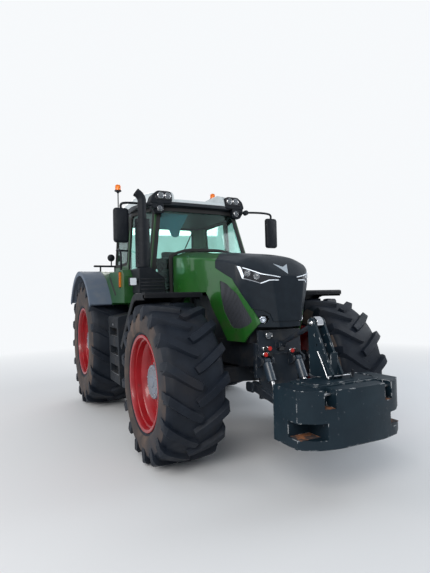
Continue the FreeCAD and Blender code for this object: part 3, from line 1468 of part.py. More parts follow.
def make_front_linkage():
    pivot = (size.link_pivot_y, size.link_pivot_z)
    end = (size.link_end_y, size.link_end_z)
    top = (size.top_pivot_y, size.top_pivot_z)
    head = (size.tower_pin_y, size.tower_pin_z)
    lift_top = (size.lift_top_y, size.lift_top_z)
    lift_low = (size.lift_low_y, size.lift_low_z)
    plate = size.link_plate / 2
    pin = size.pin_radius
    frame = Piece("front_hitch_frame")
    frame.box(-236, 236, size.frame_front - 40, size.frame_front, 660, 900)
    frame.box(-290, 290, size.frame_front - 40, size.frame_front, 880, 1240)
    frame.box(-200, 200, size.frame_front, size.frame_front + 240, 900, 1000)
    frame.box(-270, 270, size.frame_front - 60, size.frame_front - 35, 1120, 1375)
    for x, low in ((-215, 1130), (-165, 1130), (-215, 1190), (-165, 1190), (120, 1150), (170, 1150)):
        frame.disc("y", size.frame_front - 100, size.frame_front - 55, (x, low), 17)
    frame.disc("y", size.frame_front - 85, size.frame_front - 55, (-150, 1325), 40)
    made = []
    for near, front in ((size.link_pivot_x - plate - 26, size.frame_front - 30),
                        (size.link_pivot_x + plate + 3, pivot[0] - 42)):
        made.append(frame.pad("x", near, near + 23, [
            (front, pivot[1] + 50), (front, pivot[1] - 50),
            (pivot[0] + 85, pivot[1] - 50, 30), (pivot[0] + 85, pivot[1] + 50, 30)]))
    made.append(frame.box(size.link_pivot_x - plate - 12, size.link_pivot_x + plate + 12,
                          pivot[0] + 55, pivot[0] + 80, pivot[1] - 30, pivot[1] + 30))
    made.append(frame.disc("x", size.link_pivot_x - plate - 26, size.link_pivot_x + plate + 26,
                           pivot, pin))
    for near in (size.lift_x - 78, size.lift_x + 54):
        made.append(frame.pad("x", near, near + 24, [
            (size.frame_front - 35, lift_top[1] + 70), (size.frame_front - 35, lift_top[1] - 70),
            (lift_top[0] - 30, lift_top[1] - 30, 25), (lift_top[0] - 30, lift_top[1] + 30, 25)]))
    made.append(frame.disc("x", size.lift_x - 78, size.lift_x + 78, lift_top, pin))
    frame.mirror(*made)
    for near in (-52, 28):
        frame.pad("x", near, near + 24, [
            (size.frame_front - 35, top[1] - 60), (top[0] - 32, top[1] - 30, 25),
            (top[0] - 32, top[1] + 32, 25), (size.frame_front - 42, 1238),
            (size.frame_front - 35, 1238)])
    frame.disc("x", -52, 52, top, pin)
    links = Piece("front_lower_links")
    arm = links.loft("y", [
        (pivot[0] - 30, [(size.link_pivot_x - 22, pivot[1] - 42), (size.link_pivot_x + 22, pivot[1] - 42),
                         (size.link_pivot_x + 22, pivot[1] + 42), (size.link_pivot_x - 22, pivot[1] + 42)]),
        (end[0] + 25, [(size.link_end_x - 22, end[1] - 28), (size.link_end_x + 22, end[1] - 28),
                       (size.link_end_x + 22, end[1] + 28), (size.link_end_x - 22, end[1] + 28)]),
    ])
    eyes = [links.disc("x", size.link_pivot_x - plate, size.link_pivot_x + plate, pivot, 46),
            links.disc("x", size.link_end_x - plate, size.link_end_x + plate, end, 36)]
    bores = [links.hole("x", size.link_pivot_x - 60, size.link_pivot_x + 60, pivot, pin + size.pin_gap),
             links.hole("x", size.link_end_x - 60, size.link_end_x + 60, end, pin + size.pin_gap)]
    links.mirror(arm, *eyes, *bores)
    links.disc("x", -330, 330, lift_low, 26)
    barrels = Piece("front_cylinders")
    length = distance(lift_low[0] - lift_top[0], lift_low[1] - lift_top[1])
    way = [(lift_low[k] - lift_top[k]) / length for k in (0, 1)]

    def along(distance_from_top):
        return tuple(lift_top[k] + way[k] * distance_from_top for k in (0, 1))

    rods = Piece("front_cylinder_rods")
    for side, sign in SIDES:
        x = size.lift_x * sign
        barrels.disc("x", x - 32, x + 32, lift_top, 34)
        barrels.rod(x, along(25), along(215), size.lift_radius)
        barrels.hole("x", x - 60, x + 60, lift_top, pin + size.pin_gap)
        barrels.rod(x, along(60), along(230), size.lift_rod_radius + size.running_gap,
                    "PartDesign::SubtractiveCylinder")
        rods.rod(x, along(140), along(length - 38), size.lift_rod_radius)
        rods.disc("x", x - 20, x + 20, lift_low, 46)
        rods.hole("x", x - 30, x + 30, lift_low, 34)
    upper = Piece("front_top_link")
    plate_link(upper, top, head, (30, 46), 26, (pin + size.pin_gap, pin + size.open_gap), 24)
    return frame


def make_ballast():
    """A block with corner chamfers and fork slots; a narrower carrier behind it holds the link pins."""
    block = Piece("front_weight")
    half, rear, back = size.weight_half, size.weight_rear, size.weight_back
    low, high, front = size.weight_low, size.weight_high, size.weight_front
    knee_x, knee_y, shoulder_y = half - 125, front + 68, front + 160
    sag = knee_y - front
    bow = (knee_x * knee_x + sag * sag) / (sag * 2)
    block.pad("z", low, high, [
        (-half, back), (-half, shoulder_y), (-knee_x, knee_y), Bow(bow),
        (0, front), Bow(bow), (knee_x, knee_y), (half, shoulder_y), (half, back)])
    block.box(-460, 460, back - 5, rear, 620, 900)
    block.box(-120, 120, back - 5, rear, 620, high)
    block.box(-400, 400, front + 150, back, high - 5, high + 15)
    fork = block.cut("x", 345, half - 30, box_outline(front - 10, front + 330, low + 78, low + 210))
    notch = block.cut("x", 270, 370, box_outline(front - 10, front + 145, high - 150, high + 20))
    block.mirror(fork, notch)
    end = (size.link_end_y, size.link_end_z)
    slot = block.cut("x", size.link_end_x - 34, size.link_end_x + 34,
                     box_outline(rear - 120, rear + 10, end[1] - 130, end[1] + 130))
    pin = block.disc("x", size.link_end_x - 40, size.link_end_x + 40, end, size.pin_radius)
    block.mirror(slot, pin)
    head = (size.tower_pin_y, size.tower_pin_z)
    plate = block.pad("x", size.tower_half - 60, size.tower_half - 60 + size.tower_plate, [
        (rear - 10, high - 5), (rear - 300, high - 5), (head[0] - 60, head[1] - 20),
        (head[0] - 36, head[1] + 40, 26), (head[0] + 36, head[1] + 40, 26)])
    block.mirror(plate)
    block.disc("x", -size.tower_half + 40, size.tower_half - 40, head, size.pin_radius)
    return block


make_front_linkage()
make_ballast()


# Rear linkage, drive stub and drawbar

def make_rear_linkage():
    pivot = (size.rear_link_y, size.rear_link_z)
    eye = (size.rear_link_end_y, size.rear_link_end_z)
    pin = size.pin_radius
    frame = Piece("rear_hitch_frame")
    back = size.gearbox_rear
    frame.box(-220, 220, 1810, back - 10, size.gearbox_top, 1390)
    made = []
    x = size.rear_link_x
    for near in (x - 50, x + 26):
        made.append(frame.pad("x", near, near + 24, [
            (back - 120, pivot[1] + 70), (back - 120, pivot[1] - 70),
            (pivot[0] + 40, pivot[1] - 45, 30), (pivot[0] + 40, pivot[1] + 45, 30)]))
    made.append(frame.box(size.gearbox_half, x + 50, back - 160, back - 100, pivot[1] - 70,
                          pivot[1] + 70))
    made.append(frame.disc("x", x - 50, x + 50, pivot, pin))
    frame.mirror(*made)
    shaft = (size.lift_arm_y, size.lift_arm_z)
    frame.disc("x", -size.lift_arm_x - 30, size.lift_arm_x + 30, shaft, size.lift_shaft_radius)
    top = (size.rear_top_y, size.rear_top_z)
    for near in (-52, 28):
        frame.box(near, near + 24, back, top[0] + 34, top[1] - 36, top[1] + 36)
    frame.disc("x", -52, 52, top, pin)
    links = Piece("rear_lower_links")
    arm = links.loft("y", [
        (pivot[0] + 30, [(x - 20, pivot[1] - 38), (x + 20, pivot[1] - 38),
                         (x + 20, pivot[1] + 38), (x - 20, pivot[1] + 38)]),
        (eye[0] - 25, [(size.rear_link_end_x - 18, eye[1] - 30), (size.rear_link_end_x + 18, eye[1] - 30),
                       (size.rear_link_end_x + 18, eye[1] + 30), (size.rear_link_end_x - 18, eye[1] + 30)]),
    ])
    eyes = [links.disc("x", x - 24, x + 24, pivot, 42),
            links.disc("x", size.rear_link_end_x - size.rear_eye_half,
                       size.rear_link_end_x + size.rear_eye_half, eye, size.rear_eye_radius)]
    bores = [links.hole("x", x - 60, x + 60, pivot, pin + size.pin_gap),
             links.hole("x", size.rear_link_end_x - 60, size.rear_link_end_x + 60, eye,
                        size.rear_eye_bore)]
    links.mirror(arm, *eyes, *bores)
    upper = Piece("rear_top_link")
    end = (size.rear_top_end_y, size.rear_top_end_z)
    plate_link(upper, top, end, (30, 32), 25, (pin + size.pin_gap, size.rear_top_bore), 24)
    arms = Piece("lift_arms")
    tip = (size.lift_arm_end_y, size.lift_arm_end_z)
    rods = Piece("lift_rods")
    share = (size.rear_rod_y - pivot[0]) / (eye[0] - pivot[0])
    foot = (size.rear_rod_y, pivot[1] + (eye[1] - pivot[1]) * share)
    foot_x = x + (size.rear_link_end_x - x) * share
    for side, sign in SIDES:
        plate_link(arms, shaft, tip, (52, 34), 20, (size.lift_shaft_radius + size.pin_gap, 4),
                   22, size.lift_arm_x * sign)
        rod_x = (foot_x + size.lift_rod_gap) * sign
        arms.disc("x", size.lift_arm_x * sign, rod_x + 14 * sign, tip, pin)
        links.disc("x", foot_x * sign, rod_x + 14 * sign, foot, pin)
        plate_link(rods, foot, tip, (28, 32), 10, (pin + size.pin_gap, pin + size.lift_open_gap),
                   14, rod_x)
    stub = Piece("pto_stub")
    stub.disc("y", back, back + size.pto_length, (0, size.pto_z), size.pto_radius)
    guard = frame
    guard.box(-130, -122, back, back + 150, size.pto_z - 60, size.pto_z + 110)
    guard.box(122, 130, back, back + 150, size.pto_z - 60, size.pto_z + 110)
    guard.box(-130, 130, back, back + 150, size.pto_z + 102, size.pto_z + 110)
    drawbar = Piece("drawbar")
    bar = drawbar.box(-45, 45, 1700, size.drawbar_end_y + 45, size.drawbar_z - 20, size.drawbar_z + 20)
    drawbar.hole("z", size.drawbar_z - 30, size.drawbar_z + 30, (0, size.drawbar_end_y),
                 size.drawbar_bore)
    drawbar.box(-90, 90, 1750, 2100, size.drawbar_z + 20, size.gearbox_low)
    return frame


make_rear_linkage()


# Checks and export

def check_document():
    """Stops the build where a feature failed, a cut removed nothing or a shape is not sound."""
    doc.recompute()
    for item in doc.Objects:
        if "Invalid" in item.State or "Error" in item.State:
            raise SystemExit(f"{item.Label} did not build: {item.State}")
    for piece in pieces:
        shape = piece.body.Shape
        if shape.isNull() or not shape.isValid() or not shape.Solids:
            raise SystemExit(f"{piece.name} has no sound shape")
        for item in getattr(piece.body, "Group", []):
            if item.TypeId in ("PartDesign::Pocket", "PartDesign::Groove", "PartDesign::SubtractiveLoft"):
                if item.Shape.Volume > item.BaseFeature.Shape.Volume - 1:
                    raise SystemExit(f"{item.Label} removes nothing")


check_document()
for piece in pieces:
    piece.body.Shape.exportStep(f"parts/{piece.name}.step")
    solids = len(piece.body.Shape.Solids)
    print(f"{piece.name}: {solids} solid(s), {piece.body.Shape.Volume / 1e6:.1f} litres")
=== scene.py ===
# %% [markdown]
# This lesson dresses a farm tractor that stands parked on a plain studio floor.
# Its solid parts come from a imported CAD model, which stays as a fixed frame. Each cell adds one
# visible piece or one finish, so that the machine looks like the real one from every side.

# %% Load the frame
import bpy
import bmesh
import math
from mathutils import Matrix, Vector


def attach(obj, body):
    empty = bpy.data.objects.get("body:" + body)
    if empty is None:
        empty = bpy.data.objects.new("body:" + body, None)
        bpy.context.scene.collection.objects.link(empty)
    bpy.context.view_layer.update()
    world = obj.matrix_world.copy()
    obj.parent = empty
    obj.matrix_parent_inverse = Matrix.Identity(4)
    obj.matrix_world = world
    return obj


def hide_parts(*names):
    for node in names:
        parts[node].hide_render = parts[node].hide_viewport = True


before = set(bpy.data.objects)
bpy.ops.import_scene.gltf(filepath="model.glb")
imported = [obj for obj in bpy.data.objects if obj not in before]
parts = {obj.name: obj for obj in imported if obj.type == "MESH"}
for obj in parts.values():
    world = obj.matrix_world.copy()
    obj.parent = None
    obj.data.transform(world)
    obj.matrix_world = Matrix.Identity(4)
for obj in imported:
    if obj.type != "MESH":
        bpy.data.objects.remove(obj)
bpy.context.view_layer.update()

# %% [markdown]
# The camera comes first, because it decides which surfaces need the most care. Its place was worked
# out from the wheels' ellipses in the photograph: it stands at eye height in front of the right wheel.
# A lens is given here in millimetres for Blender's usual 36 mm sensor, which lies along the taller side.

# %% Camera
EYE = Vector((-2.653, -5.685, 1.723))
YAW, PITCH, ROLL = (math.radians(angle) for angle in (26.39, 1.58, -1.33))
FOCAL_PIXELS, PICTURE_HEIGHT, SENSOR = 430.0, 573.0, 36.0

ahead = Vector((math.sin(YAW) * math.cos(PITCH), math.cos(YAW) * math.cos(PITCH), math.sin(PITCH)))
level = Vector((math.cos(YAW), -math.sin(YAW), 0))
above = level.cross(ahead)
right = level * math.cos(ROLL) + above * math.sin(ROLL)
upward = above * math.cos(ROLL) - level * math.sin(ROLL)

camera_data = bpy.data.cameras.new("camera")
camera_data.sensor_width = SENSOR
camera_data.lens = SENSOR * FOCAL_PIXELS / PICTURE_HEIGHT
camera_data.clip_end = 100
camera = bpy.data.objects.new("camera", camera_data)
bpy.context.scene.collection.objects.link(camera)
turn = Matrix((right, upward, -ahead)).transposed().to_4x4()
camera.matrix_world = Matrix.Translation(EYE) @ turn
bpy.context.scene.camera = camera
print("camera at", tuple(round(v, 2) for v in EYE), "lens", round(camera_data.lens, 2))

# %% [markdown]
# A pale floor and soft lamps show colours about as they are written. A world could light the scene
# alone, but then nothing would have a bright side, so a large lamp in front and a weaker one on the
# other side give the panels their highlights. The white backdrop is only for rays that the camera,
# a mirror or a glass sends out, so it adds no light. Far from the machine the floor fades into it.

# %% Floor, world and lamps
def link_nodes(tree, *pairs):
    for start, end in pairs:
        tree.links.new(start, end)


def mesh_object(name, points, faces):
    mesh = bpy.data.meshes.new(name)
    mesh.from_pydata([tuple(point) for point in points], [], faces)
    made = bpy.data.objects.new(name, mesh)
    bpy.context.scene.collection.objects.link(made)
    return made


def closed_mesh(name, points, faces, merge=0.0):
    """A mesh whose faces all look outwards; points closer than merge become one."""
    made = mesh_object(name, points, faces)
    work = bmesh.new()
    work.from_mesh(made.data)
    if merge:
        bmesh.ops.remove_doubles(work, verts=work.verts, dist=merge)
    bmesh.ops.recalc_face_normals(work, faces=work.faces)
    work.to_mesh(made.data)
    work.free()
    return made


FLOOR_SIZE = 60
corners = [(-FLOOR_SIZE, -FLOOR_SIZE, 0), (FLOOR_SIZE, -FLOOR_SIZE, 0),
           (FLOOR_SIZE, FLOOR_SIZE, 0), (-FLOOR_SIZE, FLOOR_SIZE, 0)]
floor = mesh_object("floor", corners, [(0, 1, 2, 3)])
floor_finish = bpy.data.materials.new("pale_floor")
floor_finish.use_nodes = True
floor_shader = floor_finish.node_tree.nodes["Principled BSDF"]
floor_shader.inputs["Base Color"].default_value = (0.74, 0.75, 0.76, 1)
floor_shader.inputs["Roughness"].default_value = 0.7
floor.data.materials.append(floor_finish)
floor_tree = floor_finish.node_tree
floor_place = floor_tree.nodes.new("ShaderNodeTexCoord")
floor_away = floor_tree.nodes.new("ShaderNodeVectorMath")
floor_away.operation = "LENGTH"
floor_fade = floor_tree.nodes.new("ShaderNodeMapRange")
floor_fade.inputs["From Min"].default_value = 4.5
floor_fade.inputs["From Max"].default_value = 11.0
floor_ray = floor_tree.nodes.new("ShaderNodeLightPath")
floor_either = floor_tree.nodes.new("ShaderNodeMath")
floor_either.operation = "MAXIMUM"
floor_share = floor_tree.nodes.new("ShaderNodeMath")
floor_share.operation = "MULTIPLY"
floor_glow = floor_tree.nodes.new("ShaderNodeEmission")
floor_glow.inputs["Color"].default_value = (0.93, 0.95, 0.97, 1)
floor_mix = floor_tree.nodes.new("ShaderNodeMixShader")
link_nodes(floor_tree,
           (floor_place.outputs["Object"], floor_away.inputs[0]),
           (floor_away.outputs["Value"], floor_fade.inputs["Value"]),
           (floor_fade.outputs[0], floor_share.inputs[0]),
           (floor_ray.outputs["Is Camera Ray"], floor_either.inputs[0]),
           (floor_ray.outputs["Is Transmission Ray"], floor_either.inputs[1]),
           (floor_either.outputs[0], floor_share.inputs[1]),
           (floor_share.outputs[0], floor_mix.inputs["Fac"]),
           (floor_shader.outputs[0], floor_mix.inputs[1]),
           (floor_glow.outputs[0], floor_mix.inputs[2]),
           (floor_mix.outputs[0], floor_tree.nodes["Material Output"].inputs["Surface"]))

world = bpy.data.worlds.new("studio")
bpy.context.scene.world = world
world.use_nodes = True
sky = world.node_tree
sky.nodes.clear()
soft = sky.nodes.new("ShaderNodeBackground")
soft.inputs["Color"].default_value = (0.86, 0.92, 1.0, 1)
soft.inputs["Strength"].default_value = 0.55
white = sky.nodes.new("ShaderNodeBackground")
white.inputs["Color"].default_value = (0.93, 0.95, 0.97, 1)
rays = sky.nodes.new("ShaderNodeLightPath")
either = sky.nodes.new("ShaderNodeMath")
either.operation = "MAXIMUM"
blend = sky.nodes.new("ShaderNodeMixShader")
out = sky.nodes.new("ShaderNodeOutputWorld")
link_nodes(sky,
           (rays.outputs["Is Camera Ray"], either.inputs[0]),
           (rays.outputs["Is Transmission Ray"], either.inputs[1]),
           (either.outputs[0], blend.inputs["Fac"]),
           (soft.outputs[0], blend.inputs[1]),
           (white.outputs[0], blend.inputs[2]),
           (blend.outputs[0], out.inputs["Surface"]))


def lamp(name, place, target, width, height, watts, colour):
    data = bpy.data.lights.new(name, "AREA")
    data.shape = "RECTANGLE"
    data.size, data.size_y = width, height
    data.energy = watts
    data.color = colour
    made = bpy.data.objects.new(name, data)
    made.location = place
    made.rotation_euler = (Vector(target) - Vector(place)).to_track_quat("-Z", "Y").to_euler()
    bpy.context.scene.collection.objects.link(made)
    return made


lamp("main_lamp", (-6.5, -8.0, 6.5), (0, 0, 1.2), 6, 4, 560, (1.0, 0.97, 0.93))
lamp("side_lamp", (-9.0, 2.0, 4.5), (0, 0.5, 1.2), 5, 4, 260, (1.0, 0.95, 0.9))
lamp("far_lamp", (7.5, -3.0, 5.0), (0, 0, 1.2), 5, 4, 230, (0.92, 0.96, 1.0))
lamp("back_lamp", (2.0, 9.5, 6.0), (0, 1, 1.4), 6, 4, 230, (1.0, 0.98, 0.95))
bpy.context.scene.view_settings.view_transform = "Standard"

# %% [markdown]
# A real finish is never one flat colour: paint catches dust, rubber dries out and edges chip. Each
# finish here is a small chain of nodes on one shader. Painting pictures by hand would be slow and would
# stretch over the surfaces, so every mark comes from noise that lies in the machine's own space. A value
# that is the same all over is set on the shader itself.

# %% A helper that builds a finish
class Finish:
    def __init__(self, name, colour, roughness, metallic=0.0, coat=0.0):
        self.material = bpy.data.materials.new(name)
        self.material.use_nodes = True
        self.tree = self.material.node_tree
        self.shader = self.tree.nodes["Principled BSDF"]
        self.set("Base Color", (*colour, 1))
        self.set("Roughness", roughness)
        self.set("Metallic", metallic)
        self.set("Coat Weight", coat)
        self.start_colour = (*colour, 1)
        self.colour = None
        self.normal = None
        self.place = self.node("ShaderNodeTexCoord").outputs["Object"]

    def node(self, kind, **settings):
        made = self.tree.nodes.new(kind)
        for setting, value in settings.items():
            setattr(made, setting, value)
        return made

    def set(self, socket, value):
        self.shader.inputs[socket].default_value = value

    def join(self, start, end):
        self.tree.links.new(start, end)

    def noise(self, scale, detail=4.0, stretch=(1, 1, 1), twist=0.0):
        mapping = self.node("ShaderNodeMapping")
        mapping.inputs["Scale"].default_value = stretch
        self.join(self.place, mapping.inputs["Vector"])
        noise = self.node("ShaderNodeTexNoise")
        noise.inputs["Scale"].default_value = scale
        noise.inputs["Detail"].default_value = detail
        noise.inputs["Distortion"].default_value = twist
        self.join(mapping.outputs[0], noise.inputs["Vector"])
        return noise.outputs["Fac"]

    def cells(self, scale, feature="F1", randomness=1.0):
        made = self.node("ShaderNodeTexVoronoi", feature=feature)
        made.inputs["Scale"].default_value = scale
        made.inputs["Randomness"].default_value = randomness
        self.join(self.place, made.inputs["Vector"])
        return made.outputs["Distance"]

    def between(self, value, low, high, bottom=0.0, top=1.0):
        made = self.node("ShaderNodeMapRange")
        for socket, number in (("From Min", low), ("From Max", high), ("To Min", bottom), ("To Max", top)):
            made.inputs[socket].default_value = number
        self.join(value, made.inputs["Value"])
        return made.outputs[0]

    def maths(self, operation, first, second):
        made = self.node("ShaderNodeMath", operation=operation)
        for socket, item in zip(made.inputs, (first, second)):
            if isinstance(item, (int, float)):
                socket.default_value = item
            else:
                self.join(item, socket)
        return made.outputs[0]

    def height(self, low, high):
        """A mask that falls from 1 at the height low to 0 at the height high."""
        split = self.node("ShaderNodeSeparateXYZ")
        self.join(self.place, split.inputs[0])
        return self.between(split.outputs["Z"], high, low)

    def edges(self, width, sharpness=0.06):
        """A mask of the convex and concave edges, from the difference that a rounded edge makes."""
        rounded = self.node("ShaderNodeBevel", samples=4)
        rounded.inputs["Radius"].default_value = width
        flat = self.node("ShaderNodeNewGeometry")
        dot = self.node("ShaderNodeVectorMath", operation="DOT_PRODUCT")
        self.join(rounded.outputs[0], dot.inputs[0])
        self.join(flat.outputs["Normal"], dot.inputs[1])
        return self.between(dot.outputs["Value"], 1.0 - 0.01, 1.0 - 0.01 - sharpness)

    def paint(self, mask, colour):
        mix = self.node("ShaderNodeMix", data_type="RGBA")
        self.join(mask, mix.inputs["Factor"])
        if self.colour is None:
            mix.inputs[6].default_value = self.start_colour
        else:
            self.join(self.colour, mix.inputs[6])
        mix.inputs[7].default_value = (*colour, 1)
        self.colour = mix.outputs[2]
        self.join(self.colour, self.shader.inputs["Base Color"])
        return self

    def stain(self, colour, low, high, scale, detail=4.0, **more):
        """A second colour where the noise lies between low and high."""
        return self.paint(self.between(self.noise(scale, detail, **more), low, high), colour)

    def gloss(self, low, high, *noise):
        """Roughness that wanders between low and high with a noise."""
        self.join(self.between(self.noise(*noise), 0, 1, low, high), self.shader.inputs["Roughness"])
        return self

    def bump(self, height, distance, strength=1.0):
        made = self.node("ShaderNodeBump")
        made.inputs["Distance"].default_value = distance
        made.inputs["Strength"].default_value = strength
        self.join(height, made.inputs["Height"])
        if self.normal is not None:
            self.join(self.normal, made.inputs["Normal"])
        self.normal = made.outputs[0]
        self.join(self.normal, self.shader.inputs["Normal"])
        return self

    def grit(self, distance, strength, *noise):
        return self.bump(self.noise(*noise), distance, strength)

    def pebbles(self, distance, strength, scale, **more):
        return self.bump(self.cells(scale, **more), distance, strength)


print("finish helper ready")

# %% [markdown]
# The body panels are sprayed green with a clear coat. In the photograph they mirror the sky, so the
# coat matters more than the colour. A faint mottle and a film of road dust low down keep them from
# looking like plastic toys. The dark top and nose are the same panels in a satin near-black.

# %% Finishes of the body
green = Finish("green_enamel", (0.012, 0.105, 0.014), 0.25, coat=0.8)
green.set("Coat Roughness", 0.06)
green.stain((0.018, 0.125, 0.016), 0.35, 0.75, 3.0, 5)
green.paint(green.maths("MULTIPLY", green.height(1.25, 2.1), green.between(green.noise(9, 8), 0.42,
                                                                           0.75)), (0.045, 0.085, 0.032))
green.gloss(0.2, 0.42, 6.0, 7)
green.grit(0.0003, 0.2, 420, 2)

cab_green = Finish("cab_frame_enamel", (0.008, 0.07, 0.01), 0.34, coat=0.35)
cab_green.stain((0.014, 0.085, 0.014), 0.45, 0.8, 5, 8)
cab_green.paint(cab_green.height(3.03, 3.022), (0.006, 0.009, 0.013))
cab_green.gloss(0.28, 0.5, 8, 7)
cab_green.grit(0.0003, 0.2, 420, 2)

night = Finish("dark_enamel", (0.0035, 0.0085, 0.015), 0.42, coat=0.12)
night.set("Coat Roughness", 0.2)
night.set("Specular IOR Level", 0.25)
night.stain((0.007, 0.014, 0.022), 0.4, 0.8, 14, 8)
night.gloss(0.3, 0.52, 30, 6)
night.pebbles(0.0012, 0.28, 95)

roof_paint = Finish("pale_roof_paint", (0.6, 0.66, 0.68), 0.35, coat=0.3)
roof_paint.stain((0.44, 0.48, 0.5), 0.45, 0.8, 5, 7)
roof_paint.paint(roof_paint.height(3.1275, 3.129), (0.008, 0.012, 0.018))
roof_paint.gloss(0.28, 0.5, 12, 6)
roof_paint.grit(0.0004, 0.2, 300, 2)

# %% [markdown]
# Black mouldings such as fenders, mirrors and lamp housings have a fine pebble grain. The rear fender
# extensions are softer, greyer and bluer. Cast and welded steel below is dark, with dust settled on it.

# %% Finishes of mouldings, steel and castings
grain = Finish("black_moulding", (0.004, 0.0065, 0.011), 0.5)
grain.set("Specular IOR Level", 0.28)
grain.stain((0.018, 0.02, 0.025), 0.5, 0.85, 11, 8)
grain.gloss(0.42, 0.68, 25, 5)
grain.pebbles(0.0005, 0.35, 700)

sheet_black = Finish("black_fender_sheet", (0.0035, 0.0045, 0.007), 0.45)
sheet_black.set("Specular IOR Level", 0.2)
sheet_black.stain((0.016, 0.015, 0.015), 0.55, 0.85, 7, 9)
sheet_black.gloss(0.36, 0.6, 16, 6)
sheet_black.pebbles(0.0005, 0.3, 500)

slate = Finish("grey_blue_moulding", (0.095, 0.125, 0.175), 0.6)
slate.stain((0.13, 0.15, 0.18), 0.45, 0.8, 8, 8)
slate.gloss(0.5, 0.72, 20, 5)
slate.pebbles(0.0005, 0.3, 600)

cast = Finish("dark_casting", (0.008, 0.012, 0.018), 0.6)
cast.set("Specular IOR Level", 0.3)
cast.stain((0.034, 0.029, 0.027), 0.5, 0.8, 7, 10)
cast.paint(cast.edges(0.004, 0.2), (0.05, 0.053, 0.06))
cast.gloss(0.45, 0.8, 18, 6)
cast.grit(0.0012, 0.5, 140, 6)

steel = Finish("bare_steel", (0.55, 0.56, 0.58), 0.3, metallic=1.0)
steel.stain((0.3, 0.27, 0.24), 0.5, 0.8, 22, 8)
steel.gloss(0.18, 0.48, 35, 6, (1, 1, 4))
steel.grit(0.0003, 0.4, 260, 4, (1, 1, 6))

hitch_paint = Finish("hitch_paint", (0.01, 0.017, 0.027), 0.42)
hitch_paint.stain((0.045, 0.042, 0.04), 0.52, 0.8, 9, 9)
hitch_paint.paint(hitch_paint.maths("MULTIPLY", hitch_paint.edges(0.004, 0.12),
                                    hitch_paint.between(hitch_paint.noise(30, 8), 0.45, 0.62)),
                  (0.42, 0.42, 0.42))
hitch_paint.gloss(0.35, 0.65, 20, 6)
hitch_paint.grit(0.0008, 0.4, 160, 5)

barrel_paint = Finish("grey_cylinder_paint", (0.024, 0.042, 0.064), 0.35, coat=0.3)
barrel_paint.stain((0.045, 0.052, 0.062), 0.5, 0.8, 16, 9)
barrel_paint.gloss(0.28, 0.55, 20, 6)

# %% [markdown]
# Tyre rubber is almost black where it is clean, and the edges of its bars are lighter and bluer with a
# painted sheen.
# On the sidewalls and between the lugs dry earth has stained it brown, in streaks. The wheels are a deep
# glossy red with dust in the lower steps of the dish, and the hub covers are plain grey.

# %% Finishes of the wheels
rubber = Finish("tyre_rubber", (0.0045, 0.008, 0.015), 0.6)
rubber.set("Specular IOR Level", 0.28)
rubber.stain((0.0085, 0.0135, 0.023), 0.42, 0.72, 6, 9)
rubber.stain((0.013, 0.014, 0.019), 0.58, 0.75, 2.6, 10, twist=0.6)
# painted sheen: the lighter, bluer edges of the bars stand for the sky's sheen on the rubber
rubber.paint(rubber.edges(0.01, 0.5), (0.019, 0.026, 0.04))
rubber.gloss(0.42, 0.75, 14, 7)
rubber.grit(0.0022, 0.55, 75, 8)

earthy = Finish("tyre_sidewall", (0.042, 0.033, 0.031), 0.85)
earthy.stain((0.098, 0.066, 0.052), 0.44, 0.66, 4.5, 10, twist=0.4)
earthy.stain((0.026, 0.027, 0.034), 0.5, 0.66, 1.8, 6)
earthy.gloss(0.7, 0.9, 14, 7)
earthy.grit(0.0018, 0.5, 90, 8)

red = Finish("red_wheel_enamel", (0.27, 0.002, 0.006), 0.34, coat=0.35)
red.set("Coat Roughness", 0.12)
red.stain((0.33, 0.004, 0.01), 0.45, 0.75, 5, 8)
red.stain((0.13, 0.026, 0.022), 0.6, 0.8, 9, 10, twist=0.5)
red.gloss(0.24, 0.5, 10, 7)
red.grit(0.0004, 0.3, 180, 4)

hub_grey = Finish("grey_hub_paint", (0.165, 0.19, 0.235), 0.45)
hub_grey.stain((0.155, 0.16, 0.18), 0.45, 0.72, 9, 8)
hub_grey.stain((0.24, 0.18, 0.13), 0.62, 0.78, 22, 9)
hub_grey.gloss(0.35, 0.6, 18, 6)
hub_grey.grit(0.0006, 0.4, 150, 5)

# %% [markdown]
# The ballast block is the most weathered piece. Its dark paint is chipped white along the edges and
# rusts inside the pockets. The bevel mask finds the edges, and noise breaks it up, so that the chips
# are uneven as they are in the photograph.

# %% Finish of the ballast
ballast = Finish("ballast_paint", (0.006, 0.016, 0.025), 0.42)
ballast.set("Specular IOR Level", 0.25)
ballast.stain((0.01, 0.024, 0.035), 0.4, 0.75, 4, 9)
ballast.stain((0.06, 0.066, 0.078), 0.66, 0.74, 26, 9)
chips = ballast.maths("MULTIPLY", ballast.edges(0.014, 0.25),
                      ballast.between(ballast.noise(17, 10, twist=0.3), 0.54, 0.59))
specks = ballast.between(ballast.noise(58, 3), 0.765, 0.79)
ballast.paint(ballast.maths("MAXIMUM", chips, specks), (0.62, 0.64, 0.66))
ballast.gloss(0.3, 0.58, 11, 7)
ballast.grit(0.0016, 0.45, 60, 7)

rust = Finish("rusty_pocket", (0.05, 0.04, 0.04), 0.85)
rust.stain((0.3, 0.115, 0.045), 0.46, 0.62, 18, 10)
rust.grit(0.002, 0.7, 120, 8)

# %% [markdown]
# Cab glass is tinted sea-green and slightly dusty. Lamp lenses are clearer. The lamps' frames have a thin
# white light guide, which is a little brighter than white paint.

